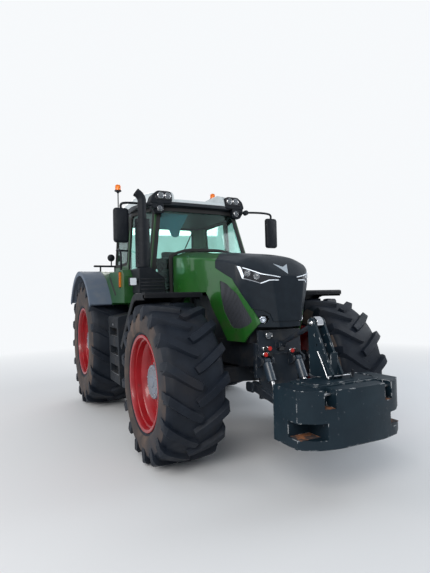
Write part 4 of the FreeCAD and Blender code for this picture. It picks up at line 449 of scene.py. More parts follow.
# %% Finishes of glass, lamps and trim
pane = Finish("cab_glass", (0.56, 0.8, 0.75), 0.03)
pane.set("Transmission Weight", 1.0)
pane.set("IOR", 1.4)
pane.stain((0.5, 0.72, 0.67), 0.5, 0.8, 1.6, 7, twist=0.4)
pane.gloss(0.0, 0.06, 3, 6)
lens = Finish("lamp_lens", (0.75, 0.82, 0.9), 0.05)
lens.set("Transmission Weight", 0.85)
lens.pebbles(0.001, 0.3, 130)
reflector = Finish("lamp_reflector", (0.78, 0.8, 0.84), 0.16, metallic=1.0)
reflector.pebbles(0.001, 0.5, 160)
white_lens = Finish("frosted_lens", (0.72, 0.78, 0.84), 0.22)
white_lens.pebbles(0.001, 0.6, 120, randomness=0.0)
guide = Finish("white_light_guide", (0.85, 0.92, 1.0), 0.25)
guide.set("Emission Color", (0.82, 0.92, 1.0, 1))
guide.set("Emission Strength", 0.2)
guide.grit(0.0002, 0.2, 200, 3)
gloss_black = Finish("gloss_black", (0.008, 0.009, 0.012), 0.12, coat=0.5)
gloss_black.gloss(0.08, 0.25, 20, 5)
amber = Finish("orange_lens", (0.95, 0.23, 0.015), 0.18)
amber.set("Transmission Weight", 0.35)
amber.grit(0.001, 0.5, 60, 3, (1, 1, 8))
chrome = Finish("bright_chrome", (0.8, 0.81, 0.83), 0.12, metallic=1.0)
chrome.gloss(0.08, 0.22, 40, 5)
seal_rubber = Finish("rubber_seal", (0.012, 0.012, 0.013), 0.7)
seal_rubber.grit(0.0005, 0.4, 200, 5)
red_plastic = Finish("red_cap", (0.55, 0.02, 0.015), 0.4)
red_plastic.grit(0.0004, 0.3, 200, 3)
print(len(bpy.data.materials), "finishes")

# %% [markdown]
# The seat is covered in woven cloth, and the cab's inner mouldings are dark grey plastic.

# %% Finishes inside the cab
weave = Finish("seat_cloth", (0.035, 0.035, 0.04), 0.9)
weave.set("Sheen Weight", 0.4)
threads = weave.maths("MULTIPLY", weave.noise(420, 1, (1, 6, 1)), weave.noise(420, 1, (6, 1, 1)))
weave.paint(weave.between(threads, 0.2, 0.34), (0.07, 0.07, 0.078))
weave.bump(threads, 0.002, 0.7)
blind_finish = Finish("sun_blind_film", (0.055, 0.17, 0.24), 0.5)
blind_finish.set("Alpha", 0.93)
blind_finish.grit(0.0004, 0.3, 300, 2)
pale_trim = Finish("pale_satin_trim", (0.55, 0.62, 0.68), 0.3, metallic=0.6)
pale_trim.gloss(0.22, 0.4, 60, 4)
inner = Finish("cab_moulding", (0.02, 0.024, 0.028), 0.6)
inner.stain((0.03, 0.034, 0.038), 0.45, 0.75, 10, 6)
inner.pebbles(0.0006, 0.35, 500)

mesh_black = Finish("black_grille_mesh", (0.01, 0.012, 0.017), 0.6)
holes = mesh_black.between(mesh_black.cells(85, randomness=0.0), 0.25, 0.42)
mesh_black.paint(holes, (0.034, 0.038, 0.048))
mesh_black.bump(holes, 0.004, 0.8)

# %% [markdown]
# Every solid of the frame gets the finish of its group. Most of the large ones are replaced further on, but
# until then each has its material, so that no part is ever bare.

# %% Finishes laid on the parts
CARRIED = {
    green: ("bonnet_side",),
    cab_green: ("cab_frame", "rear_fenders"),
    night: ("bonnet_top", "bonnet_nose"),
    roof_paint: ("cab_roof",),
    sheet_black: ("fender_front_right", "fender_front_left"),
    grain: ("mirrors", "lamps", "exhaust_stack",
            "side_tanks", "bonnet_grilles", "door_frame", "handrails"),
    slate: ("fender_extensions",),
    cast: ("front_axle", "front_frame", "engine_block", "gearbox_housing", "rear_axle",
           "knuckle_right", "knuckle_left", "cooling_pack", "tool_box", "steps_left"),
    steel: ("steering_rod", "front_cylinder_rods", "pto_stub"),
    hitch_paint: ("front_hitch_frame", "front_lower_links", "front_top_link", "rear_hitch_frame",
                  "rear_lower_links", "rear_top_link", "lift_arms", "lift_rods", "drawbar"),
    barrel_paint: ("front_cylinders",),
    rubber: ("tyre_front_right", "tyre_front_left", "tyre_rear_right", "tyre_rear_left"),
    red: ("rim_front_right", "rim_front_left", "rim_rear_right", "rim_rear_left"),
    hub_grey: ("hub_front_right", "hub_front_left", "hub_rear_right", "hub_rear_left"),
    ballast: ("front_weight",),
    pane: ("windscreen", "cab_windows", "door_glass"),
    lens: ("headlamps",),
    amber: ("beacons",),
    weave: ("seat",),
    inner: ("cab_fittings",),
    gloss_black: ("steering_wheel",),
}
for one, names in CARRIED.items():
    for name in names:
        parts[name].data.materials.clear()
        parts[name].data.materials.append(one.material)
print("finishes laid on", sum(len(names) for names in CARRIED.values()), "of", len(parts), "parts")

# %% [markdown]
# Most of the machine's round pieces are turned shapes: an outline of (along, away) points spun about
# an axis. A spin of a bmesh outline gives clean rings of faces, which take smooth shading well, and the
# points say in plain numbers where each step of a rim or hub lies.

# %% A helper that turns outlines
def finished(made, finish, body, smooth=True, bevel=0.0, angle=35):
    """Gives a new piece its finish, its shading, a rounded edge and the body that it rides on."""
    for one in finish if isinstance(finish, (tuple, list)) else (finish,):
        made.data.materials.append(one.material)
    if made.type == "MESH":
        made.data.polygons.foreach_set("use_smooth", [smooth] * len(made.data.polygons))
        if bevel:
            soft_edge = made.modifiers.new("rounded_edges", "BEVEL")
            soft_edge.width = bevel
            soft_edge.segments = 2
            soft_edge.limit_method = "ANGLE"
            soft_edge.angle_limit = math.radians(30)
        if smooth:
            made.data.set_sharp_from_angle(angle=math.radians(angle))
    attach(made, body)
    return made


def from_bmesh(name, work):
    bmesh.ops.recalc_face_normals(work, faces=work.faces)
    mesh = bpy.data.meshes.new(name)
    work.to_mesh(mesh)
    work.free()
    made = bpy.data.objects.new(name, mesh)
    bpy.context.scene.collection.objects.link(made)
    return made


def spot_on(axis, across, up, along):
    """A point from its place along an axis and its two coordinates across it, in the order X, Y, Z."""
    return {"X": (along, across, up), "Y": (across, along, up), "Z": (across, up, along)}[axis]


def turned(name, centre, outline, steps=96, axis="X", closed=True):
    """Spins an outline of (along, away) points about an axis through centre."""
    points, faces = [], []
    count = len(outline)
    for step in range(steps):
        angle = 2 * math.pi * step / steps
        c, s = math.cos(angle), math.sin(angle)
        for along, away in outline:
            points.append(tuple(a + b for a, b in zip(centre, spot_on(axis, away * c, away * s, along))))
    for step in range(steps):
        after = (step + 1) % steps
        for k in range(count if closed else count - 1):
            n = (k + 1) % count
            faces.append((step * count + k, step * count + n, after * count + n, after * count + k))
    return closed_mesh(name, points, faces, 1e-5)


def spun(name, centre, outline, finish, body, steps=96, axis="X", closed=True, bevel=0.0, angle=35):
    """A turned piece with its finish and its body."""
    made = turned(name, centre, outline, steps, axis, closed)
    finished(made, finish, body, bevel=bevel, angle=angle)
    return made


def bridged(work, rings, caps=True):
    """Joins rings of points in a row with faces, and closes both ends."""
    for first, second in zip(rings, rings[1:]):
        count = len(first)
        for k in range(count):
            n = (k + 1) % count
            work.faces.new((first[k], first[n], second[n], second[k]))
    if caps:
        work.faces.new(rings[0])
        work.faces.new(rings[-1])


def sided(line, way):
    """An outline for the left side, with way 1, or mirrored for the right side, with way -1."""
    return [(x * way, other) for x, other in line]


WHEELS = {
    # end: track, axle y, tyre radius, tyre width, seat radius, flange radius, lug height
    "front": (2.07, -1.26, 0.85, 0.65, 0.483, 0.508, 0.048),
    "rear": (2.15, 1.89, 1.05, 0.75, 0.533, 0.558, 0.048),
}
SIDES = (("right", -1), ("left", 1))
print("turning helper ready")

# %% [markdown]
# A farm tyre is a smooth carcass with tall slanted bars. Each bar starts near the middle of the tread,
# sweeps back as it goes outwards and runs down over the shoulder. One bar is made as a strip of rounded
# cross-sections and is then copied round the wheel, with the two rows half a step apart. A texture
# could only fake the bars, and here they make the whole outline of the wheel.

# %% Tyres
LUGS = 17
BAR_STATIONS = 14


def tread_radius(across, width, radius, lug):
    """The carcass seen along the tread: flat in the middle and rounded down at the shoulder."""
    share = min(abs(across) / (width / 2), 1.0)
    return radius - lug - 0.03 * share ** 2 - 0.085 * max(0.0, (share - 0.72) / 0.28) ** 2.2


def tyre_mesh(name, width, radius, seat, flange, lug):
    half = width / 2
    outline = []
    for k in range(25):
        across = half * 0.93 * (1 - 2 * k / 24)
        outline.append((across, tread_radius(across, width, radius, lug)))
    wall = [(0.985, 0.7), (1.0, 0.5), (0.995, 0.34), (0.965, 0.2), (0.935, 0.12), (0.915, 0.105),
            (0.9, 0.05), (0.86, 0.0)]
    shoulder = tread_radius(half * 0.93, width, radius, lug)
    left_wall = [(-half * x, flange + (shoulder - flange) * r) for x, r in wall]
    left_wall += [(-half * 0.84, flange - 0.004), (-half * 0.84, seat + 0.001)]
    right_wall = [(-x, r) for x, r in reversed(left_wall)]
    outline += left_wall + right_wall
    carcass = turned(name, (0, 0, 0), outline, steps=136)
    work = bmesh.new()
    work.from_mesh(carcass.data)
    bpy.data.objects.remove(carcass)
    wall_edge = half * 0.94
    for face in work.faces:
        if abs(face.calc_center_median().x) > wall_edge:
            face.material_index = 1
    for row in (-1, 1):
        for number in range(LUGS):
            turn_angle = 2 * math.pi * (number + (0.5 if row > 0 else 0.0)) / LUGS
            add_bar(work, row, turn_angle, half, width, radius, lug)
    return from_bmesh(name, work)


def add_bar(work, row, turn_angle, half, width, radius, lug):
    """One bar: a strip of six-point cross-sections from the tread's middle down over the shoulder."""
    rings = []
    for k in range(BAR_STATIONS):
        t = k / (BAR_STATIONS - 1)
        across = -0.022 + (half * 0.985 + 0.022) * min(t / 0.8, 1.0)
        down = max(0.0, (t - 0.8) / 0.2)
        sweep = 0.3 * (across / half) ** 1.15 if across > 0 else 0.3 * across / half
        angle = turn_angle + sweep * 0.85 / radius * 0.9 + 0.018 * down
        foot = tread_radius(across, width, radius, lug)
        crown = radius - 0.014 * (across / half) ** 2 - 0.006
        crown -= 0.03 * max(0.0, (across / half - 0.86) / 0.14) ** 2
        crown -= 0.125 * down
        foot -= 0.165 * down
        out = across + 0.004 * down
        top_half = 0.029 + 0.01 * t
        base_half = top_half + 0.024
        if k == 0:
            top_half, base_half = top_half * 0.8, base_half * 0.9
        skew = 0.75 - 0.45 * t
        section = []
        for side, height in ((-base_half, foot - 0.02), (-top_half - 0.006, crown - 0.014),
                             (-top_half, crown - 0.003), (top_half, crown - 0.003),
                             (top_half + 0.006, crown - 0.014), (base_half, foot - 0.02)):
            x = out - side * skew * 0.7 * (0.3 if t > 0.78 else 1.0)
            x = min(x, half)
            if down > 0:
                x = min(half, half * 0.996 if height > foot else half * 0.9)
            around = angle + side / radius
            section.append(work.verts.new((x * row, height * math.sin(around),
                                           height * math.cos(around))))
        rings.append(section)
    bridged(work, rings)


for end, (track, axle_y, radius, width, seat, flange, lug) in WHEELS.items():
    shape = tyre_mesh(f"tyre_shape_{end}", width, radius, seat, flange, lug)
    for side, way in SIDES:
        tyre = bpy.data.objects.new(f"tyre_{end}_{side}_rubber", shape.data.copy())
        bpy.context.scene.collection.objects.link(tyre)
        tyre.data.transform(Matrix.Translation((track / 2 * way, axle_y, radius)))
        finished(tyre, (rubber, earthy), f"wheel_{end}_{side}", angle=38)
        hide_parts(f"tyre_{end}_{side}")
    print(end, "tyre has", len(shape.data.polygons), "faces")
    bpy.data.objects.remove(shape)

# %% [markdown]
# The wheels are deep steel dishes. Their steps are turned from one outline: the outer flange, the seat
# where the tyre sits, the drop, and the cone that runs in to the hub.

# %% Wheel dishes
def rim_outline(width, seat, flange, disc_out):
    edge, bead = width / 2 * 0.84 + 0.028, width / 2 * 0.84 + 0.009
    wall = 0.012
    outer = [(-edge, flange - 0.004), (-edge + 0.004, flange), (-bead, flange), (-bead, seat),
             (-bead + 0.045, seat - 0.004), (-bead + 0.075, seat - 0.028), (bead - 0.075, seat - 0.028),
             (bead - 0.045, seat - 0.004), (bead, seat), (bead, flange), (edge - 0.004, flange),
             (edge, flange - 0.004)]
    dish = [(edge, flange - 0.016), (edge - 0.006, seat - 0.008), (edge - 0.03, seat - 0.016),
            (edge - 0.055, seat - 0.018), (edge - 0.062, seat - 0.034), (bead - 0.1, seat - 0.04),
            (bead - 0.11, seat - 0.06), (disc_out + 0.01, seat - 0.075), (disc_out - 0.02, seat * 0.82),
            (disc_out - 0.012, seat * 0.7), (disc_out + wall - 0.004, seat * 0.58),
            (disc_out + wall, seat * 0.52), (disc_out + wall, 0.112)]
    back = [(disc_out, 0.112), (disc_out, seat * 0.55), (disc_out - 0.04, seat * 0.72),
            (disc_out - 0.05, seat - 0.08), (0.0, seat - 0.044), (-edge + 0.05, seat - 0.03),
            (-edge, seat - 0.02)]
    return outer + dish + back


for end, (track, axle_y, radius, width, seat, flange, lug) in WHEELS.items():
    disc_out = {"front": 0.11, "rear": 0.12}[end]
    for side, way in SIDES:
        centre = (track / 2 * way, axle_y, radius)
        outline = sided(rim_outline(width, seat, flange, disc_out), way)
        rim = spun(f"rim_{end}_{side}_dish", centre, outline, red, f"wheel_{end}_{side}",
                   steps=128, angle=50)
        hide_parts(f"rim_{end}_{side}")
print("four wheel dishes turned")

# %% [markdown]
# Each hub carries a flat cover held by small bolts, and a ring of wheel nuts clamps the dish. The nuts
# are six-sided prisms with a washer and a stud, so they read as fasteners from close by.

# %% Hub covers, wheel nuts and bolts
def ring_of_nuts(name, centre, ring, count, size, way, finish, body, start=0.0):
    work = bmesh.new()
    for number in range(count):
        angle = start + 2 * math.pi * number / count
        y, z = centre[1] + ring * math.cos(angle), centre[2] + ring * math.sin(angle)
        for half, near, far, corners in ((size * 1.25, 0.0, size * 0.22, 20), (size, size * 0.22, size, 6),
                                         (size * 0.5, size, size * 1.35, 12)):
            loop = []
            for x in (near, far):
                loop.append([work.verts.new((centre[0] + x * way,
                                             y + half * math.cos(2 * math.pi * k / corners),
                                             z + half * math.sin(2 * math.pi * k / corners)))
                             for k in range(corners)])
            bridged(work, loop)
    made = finished(from_bmesh(name, work), finish, body, bevel=size * 0.06)
    return made


HUB_FACES = {"front": (0.193, 0.18, 0.15, 0.06), "rear": (0.25, 0.165, 0.19, 0.062)}
for end, (track, axle_y, radius, width, seat, flange, lug) in WHEELS.items():
    face, cap, back, shaft = HUB_FACES[end]
    disc_out = {"front": 0.11, "rear": 0.12}[end] + 0.012
    for side, way in SIDES:
        centre = (track / 2 * way, axle_y, radius)
        outline = [(-back, shaft + 0.001), (-back, cap - 0.02), (-back + 0.06, cap + 0.02),
                   (disc_out - 0.014, cap + 0.04), (disc_out - 0.014, 0.11), (disc_out, 0.11),
                   (disc_out, cap + 0.004), (disc_out + 0.012, cap), (face - 0.012, cap),
                   (face - 0.003, cap - 0.004), (face, cap - 0.012), (face, cap - 0.034),
                   (face - 0.004, cap - 0.038), (face - 0.004, cap - 0.052), (face, cap - 0.056),
                   (face, 0.06), (face + 0.01, 0.052), (face + 0.012, 0.03), (face + 0.012, 0.0),
                   (-back + 0.096, 0.0), (-back + 0.096, shaft + 0.001)]
        hub = spun(f"hub_{end}_{side}_cover", centre, sided(outline, way), hub_grey,
                   f"wheel_{end}_{side}", steps=96, angle=30)
        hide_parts(f"hub_{end}_{side}")
        bolts = ring_of_nuts(f"hub_{end}_{side}_bolts", (centre[0] + face * way, *centre[1:]),
                             cap - 0.024, 10, 0.008, way, steel, f"wheel_{end}_{side}", 0.2)
        nuts = ring_of_nuts(f"hub_{end}_{side}_nuts", (centre[0] + disc_out * way, *centre[1:]),
                            cap + 0.028, 12, 0.015, way, steel, f"wheel_{end}_{side}")
print("hubs dressed")

# %% [markdown]
# On the real machine the hood is one flowing skin of moulded panels. The skin is first made whole,
# from a row of rounded cross-sections whose sizes run smoothly from the cab to the nose. Panels are then
# cut out of it with prisms, as a jigsaw cuts a sheet. All panels share the same curve, which panels
# modelled one by one would not do.

# %% The whole skin of the hood
STATIONS = [
    # y, half width, half width at the bottom, top, crease below the top, height where it tapers in
    (-0.06, 0.505, 0.435, 2.415, 0.095, 1.6), (-1.0, 0.493, 0.41, 2.306, 0.095, 1.6),
    (-1.71, 0.448, 0.34, 2.198, 0.108, 1.8), (-1.85, 0.394, 0.262, 2.13, 0.096, 1.88),
    (-1.975, 0.292, 0.165, 2.026, 0.044, 1.88), (-2.055, 0.19, 0.11, 1.948, 0.014, 1.87),
]
SKIRT_LOW = 1.255


def smooth_size(y, column):
    """One size of the cross-section at y, on a curve that never swings past its own points."""
    rows = STATIONS[::-1]
    ys = [row[0] for row in rows]
    values = [row[column] for row in rows]
    steps = [(values[k + 1] - values[k]) / (ys[k + 1] - ys[k]) for k in range(len(ys) - 1)]
    slopes = [steps[0]] + [0 if a * b <= 0 else 2 * a * b / (a + b) for a, b in zip(steps, steps[1:])]
    slopes.append(steps[-1])
    k = max(0, min(len(steps) - 1, sum(1 for edge in ys[1:] if y > edge)))
    width = ys[k + 1] - ys[k]
    t = (y - ys[k]) / width
    return ((1 + 2 * t) * (1 - t) ** 2 * values[k] + t * (1 - t) ** 2 * width * slopes[k]
            + t * t * (3 - 2 * t) * values[k + 1] + t * t * (t - 1) * width * slopes[k + 1])


def corner(before, here, after, trim, share, steps):
    """Points along the curve that rounds one corner off, over no more than a share of each side."""
    before, here, after = Vector(before), Vector(here), Vector(after)
    reach = min(trim, (before - here).length * share, (after - here).length * share)
    first = here + (before - here).normalized() * reach
    last = here + (after - here).normalized() * reach
    points = []
    for step in range(steps + 1):
        t = step / steps
        points.append(tuple(first * (1 - t) ** 2 + here * 2 * t * (1 - t) + last * t * t))
    return points


def rounded(corners, trims, steps):
    """Points along an open line whose inner corners are rounded off."""
    points = [corners[0]]
    for k, trim in zip(range(1, len(corners) - 1), trims):
        points += corner(*corners[k - 1:k + 2], trim, 0.46, steps)
    return points + [corners[-1]]


def softened(outline, trim=0.03, steps=5):
    """Rounds every corner of a closed outline."""
    points = []
    for k, here in enumerate(outline):
        points += corner(outline[k - 1], here, outline[(k + 1) % len(outline)], trim, 0.4, steps)
    return points


def hood_half(y, inset=0.0):
    """The right-hand half of a cross-section as (x, z), from the bottom edge to the middle of the top."""
    half, foot, top, crown, waist = (smooth_size(y, column) for column in range(1, 6))
    side, foot = half - inset, foot - inset
    ridge = top - crown * 0.25 - inset
    corners = [(foot, SKIRT_LOW - 0.03), (foot + (side - foot) * 0.5, (SKIRT_LOW + waist) / 2),
               (side, waist), (side, top - crown - inset * 0.6), (side * 0.6, ridge),
               (0.0, ridge + 0.004)]
    crown_trim = min(0.03, crown * 0.4 + 0.008)
    return rounded(corners, (0.05, 0.13, crown_trim, side * 0.25), 6)


def hood_rows():
    rows, y = [], -0.06
    while y > -2.044:
        rows.append((y, 0.0))
        y -= 0.04 if y > -1.5 else 0.02
    for k in range(1, 7):
        turn_angle = math.pi / 2 * k / 6
        rows.append((-2.043 - 0.012 * math.sin(turn_angle), 0.012 * (1 - math.cos(turn_angle))))
    return rows


def hood_skin(name, inset, thickness):
    """A closed solid: the skin from inset to inset + thickness, open at the bottom and the rear."""
    work = bmesh.new()
    walls = []
    for depth in (inset, inset + thickness):
        grid = []
        for y, edge in hood_rows():
            half = hood_half(y, edge + depth)
            line = sided(half, -1) + [(x, z) for x, z in reversed(half[:-1])]
            place = y + depth if y < -2.02 else y
            grid.append([work.verts.new((x, place, z)) for x, z in line])
        tip = grid[-1]
        for share in (0.75, 0.5, 0.25):
            grid.append([work.verts.new((v.co.x * share, v.co.y, v.co.z)) for v in tip])
        walls.append(grid)
    for grid in walls:
        for first, second in zip(grid, grid[1:]):
            for k in range(len(first) - 1):
                work.faces.new((first[k], first[k + 1], second[k + 1], second[k]))
        last = grid[-1]
        count = len(last)
        for k in range(count // 2):
            if k < count // 2 - 1:
                work.faces.new((last[k], last[k + 1], last[count - 2 - k], last[count - 1 - k]))
            else:
                work.faces.new((last[k], last[k + 1], last[count - 1 - k]))
    outer, inner = walls
    for k in range(len(outer[0]) - 1):
        work.faces.new((outer[0][k], outer[0][k + 1], inner[0][k + 1], inner[0][k]))
    for k in range(len(outer) - 1):
        work.faces.new((outer[k][0], outer[k + 1][0], inner[k + 1][0], inner[k][0]))
        work.faces.new((outer[k][-1], outer[k + 1][-1], inner[k + 1][-1], inner[k][-1]))
    work.faces.new((outer[-1][0], outer[-1][-1], inner[-1][-1], inner[-1][0]))
    return from_bmesh(name, work)


def prism(name, axis, outline, low, high):
    """A straight prism over an outline; its points are the two coordinates across the axis, in order."""
    count = len(outline)
    points = [spot_on(axis, a, b, end) for end in sorted((low, high)) for a, b in outline]
    faces = [tuple(range(count)), tuple(range(count, 2 * count))]
    faces += [(k, (k + 1) % count, count + (k + 1) % count, count + k) for k in range(count)]
    return closed_mesh(name, points, faces)


def carve(made, *steps):
    """Cuts a mesh by prisms, each step an operation and a prism, and keeps the plain result."""
    for operation, tool in steps:
        cut = made.modifiers.new("cut", "BOOLEAN")
        cut.operation = operation
        cut.object = tool
        cut.solver = "EXACT"
    bpy.context.view_layer.update()
    sight = bpy.context.evaluated_depsgraph_get()
    mesh = bpy.data.meshes.new_from_object(made.evaluated_get(sight))
    made.modifiers.clear()
    made.data = mesh
    return made


def copied(source, name):
    made = bpy.data.objects.new(name, source.data.copy())
    bpy.context.scene.collection.objects.link(made)
    return made


skin = hood_skin("hood_skin", 0.0, 0.014)
print("hood skin has", len(skin.data.polygons), "faces")

# %% [markdown]
# The lines between the panels are what gives the hood its look: a green side that ends in a slanted
# ring round the air grille, a dark lid that runs to a point towards the cab, and a dark nose. The
# outlines are written as seen from the side, from above or from the front.

# %% Hood panels
WIDE = 0.6
SEAM = 0.0018
NOSE_LINE = [(-1.318, 2.55), (-1.318, 2.068), (-1.661, 1.928), (-1.75, 1.82), (-1.858, 1.594),
             (-1.905, 1.46), (-1.861, 1.415)]
SKIRT_LINE = [(-1.705, 1.25), (-1.4, 1.245), (-1.295, 1.465), (-1.16, 1.72), (-1.08, 1.8),
              (-0.055, 1.8), (-0.055, 2.55)]
GRILLE_RING = [(-1.408, 1.922), (-1.544, 1.886), (-1.736, 1.764), (-1.84, 1.482), (-1.795, 1.434),
               (-1.697, 1.393), (-1.539, 1.396), (-1.451, 1.562)]
LAMP_FRAME = [(0.441, 2.062), (0.282, 1.966), (0.1, 1.93), (0.122, 1.89), (0.218, 1.891),
              (0.287, 1.861), (0.415, 1.921)]
LID_EDGE = [(0.0, -0.66), (0.451, -1.318), (0.426, -1.71), (0.372, -1.85), (0.27, -1.975),
            (0.17, -2.03)]


def grown(outline, amount):
    """Moves every corner of a closed outline outwards by an amount, or inwards below zero."""
    area = sum(a[0] * b[1] - b[0] * a[1] for a, b in zip(outline, outline[1:] + outline[:1]))
    way = 1 if area > 0 else -1
    points = []
    count = len(outline)
    for k in range(count):
        before, here, after = (Vector(outline[(k + j) % count]) for j in (-1, 0, 1))
        first = (here - before).normalized()
        second = (after - here).normalized()
        out_first = Vector((first.y, -first.x)) * way
        out_second = Vector((second.y, -second.x)) * way
        middle = (out_first + out_second).normalized()
        points.append(tuple(here + middle * amount / max(0.4, middle.dot(out_first))))
    return points


def lid_outline(spare):
    half = [(max(0.0, x - spare), y - spare) for x, y in LID_EDGE]
    return [(0.0, LID_EDGE[0][1] - 1.8 * spare)] + half[1:] + [(-x, y) for x, y in reversed(half[1:])]


def hood_panel(name, finish, *steps, source=None, replaces=(), slot=None, bevel=0.0016):
    panel = carve(copied(source or skin, name), *steps)
    finished(panel, finish, "bonnet", bevel=bevel, angle=32)
    if replaces:
        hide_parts(*replaces)
    return panel


ring_hole = prism("ring_hole", "X", softened(GRILLE_RING, 0.035), -WIDE, WIDE)
side_area = prism("side_area", "X", NOSE_LINE + SKIRT_LINE, -WIDE, WIDE)
lid_hole = prism("lid_hole", "Z", lid_outline(-SEAM), 1.895, 2.6)
lid_area = prism("lid_area", "Z", lid_outline(SEAM), 1.895, 2.6)
nose_area = prism("nose_area", "X", [(y - 2 * SEAM, z) for y, z in NOSE_LINE] + [(-2.2, 1.415),
                                                                                 (-2.2, 2.55)], -WIDE,
                  WIDE)
lamp_holes = [prism(f"lamp_hole_{side}", "Y", sided(LAMP_FRAME, way), -2.2, -1.66)
              for side, way in SIDES]
LOWER_NOSE = [(0.6, 1.612), (0.34, 1.607), (0.243, 1.58), (0.203, 1.548), (0.176, 1.472)]
lower_line = LOWER_NOSE + sided(LOWER_NOSE[::-1], -1)
lower_area = prism("lower_area", "Y", lower_line + [(-0.6, 1.3), (0.6, 1.3)], -2.2, -1.6)
lower_gap = prism("lower_gap", "Y", grown(lower_line + [(-0.6, 1.3), (0.6, 1.3)], SEAM * 1.5), -2.2, -1.6)

side_panel = hood_panel("hood_side_panels", green, ("INTERSECT", side_area), ("DIFFERENCE", lid_hole),
                        ("DIFFERENCE", ring_hole), replaces=("bonnet_side",), slot="body_panel")
lid = hood_panel("hood_lid", night, ("INTERSECT", lid_area), replaces=("bonnet_top",), slot="dark_panel")
nose = hood_panel("hood_nose", night, ("INTERSECT", nose_area), ("DIFFERENCE", lid_hole),
                  ("DIFFERENCE", lower_gap), *[("DIFFERENCE", hole) for hole in lamp_holes],
                  replaces=("bonnet_nose",), slot="dark_panel")
deep_skin = hood_skin("deep_skin", 0.008, 0.01)
low_holes = [turned(f"low_hole_{side}", (0.243 * way, -1.935, 1.495),
                    [(-0.2, 0.0), (-0.2, 0.043), (0.2, 0.043), (0.2, 0.0)], steps=48, axis="Y",
                    closed=False) for side, way in SIDES]
lower_nose = hood_panel("hood_lower_nose", night, ("INTERSECT", lower_area), ("INTERSECT", nose_area),
                        *[("DIFFERENCE", hole) for hole in low_holes], source=deep_skin,
                        slot="dark_panel")
mesh_skin = hood_skin("mesh_skin", 0.006, 0.006)
mesh_area = prism("mesh_area", "X", grown(softened(GRILLE_RING, 0.035), 0.012), -WIDE, WIDE)
mesh_panel = hood_panel("hood_grille_mesh", mesh_black, ("INTERSECT", mesh_area), source=mesh_skin,
                        replaces=("bonnet_grilles",), slot="dark_panel", bevel=0)
print("hood panels:", {piece.name: len(piece.data.polygons) for piece in
                       (side_panel, lid, nose, lower_nose, mesh_panel)})

# %% [markdown]
# Each headlamp is a dark tray behind an opening in the nose, with two round lenses in chrome rings. A
# white light guide follows the upper and the lower edge and widens into a bar at the outer end. The low
# lamps are single round lenses sunk in the lower nose.

# %% Headlamps
def on_skin(x, z, inset=0.0):
    """The place on the hood's front where a line of sight along the machine at (x, z) meets the skin."""
    low, high = -2.055, -1.3
    for _ in range(40):
        middle = (low + high) / 2
        half, foot, top, crown, waist = (smooth_size(middle, column) for column in range(1, 6))
        width = half if z > waist else foot + (half - foot) * (z - SKIRT_LOW) / (waist - SKIRT_LOW)
        if width > abs(x):
            low, high = low, middle
        else:
            low, high = middle, high
    return Vector((x, high + inset, z))


def skin_normal(x, z):
    step = 0.012
    across = on_skin(x + step, z) - on_skin(x - step, z)
    up = on_skin(x, z + step) - on_skin(x, z - step)
    normal = across.cross(up).normalized()
    return normal if normal.y < 0 else -normal


def round_lens(name, spot, normal, radius, body):
    """A lens with a chrome ring round it, turned about the way it looks."""
    ring = turned(name + "_ring", (0, 0, 0), [(-0.02, radius), (0.004, radius), (0.006, radius * 1.06),
                                              (0.004, radius * 1.14), (-0.004, radius * 1.16),
                                              (-0.02, radius * 1.16)], steps=40, axis="Z")
    bowl = turned(name + "_bowl", (0, 0, 0), [(0.0, radius), (-0.01, radius * 0.85),
                                              (-0.018, radius * 0.5), (-0.02, 0.0)], steps=40, axis="Z",
                  closed=False)
    glass = turned(name + "_lens", (0, 0, 0), [(0.002, radius), (0.005, radius * 0.82),
                                               (0.009, radius * 0.5), (0.011, 0.0)], steps=40, axis="Z",
                   closed=False)
    turn_to = normal.to_track_quat("Z", "Y").to_matrix().to_4x4()
    for piece, finish in ((ring, chrome), (bowl, reflector), (glass, lens)):
        piece.data.transform(Matrix.Translation(spot) @ turn_to)
        finished(piece, finish, body, angle=50)
    return glass


def spread(line, count):
    """Points spaced evenly along an open line."""
    lengths = [math.dist(a, b) for a, b in zip(line, line[1:])]
    spots = []
    for k in range(count):
        rest = sum(lengths) * k / (count - 1)
        for (a, b), length in zip(zip(line, line[1:]), lengths):
            if rest <= length + 1e-9:
                break
            rest -= length
        spots.append(tuple(p + (q - p) * rest / length for p, q in zip(a, b)))
    return spots


def lamp_tray(name, way, inset, thickness):
    """A thin black sheet that lies behind the lamp's opening and follows the hood's skin."""
    edge = grown(LAMP_FRAME, 0.008)
    upper = spread(edge[:3], 16)
    lower = spread([edge[6], edge[5], edge[4], edge[3]], 16)
    rows, columns = 16, 6
    points = []
    for depth in (inset, inset + thickness):
        for low, high in zip(lower, upper):
            for step in range(columns):
                x, z = (a + (b - a) * step / (columns - 1) for a, b in zip(low, high))
                points.append(on_skin(x * way, z, depth))
    layer = rows * columns
    faces = []
    for row in range(rows - 1):
        for column in range(columns - 1):
            k = row * columns + column
            quad = (k, k + 1, k + columns + 1, k + columns)
            faces += [quad, tuple(layer + v for v in reversed(quad))]
    rim = [row * columns for row in range(rows)]
    rim += [(rows - 1) * columns + column for column in range(1, columns)]
    rim += [row * columns + columns - 1 for row in range(rows - 2, -1, -1)]
    rim += list(range(columns - 2, 0, -1))
    faces += [(a, layer + a, layer + b, b) for a, b in zip(rim, rim[1:] + rim[:1])]
    return closed_mesh(name, points, faces)


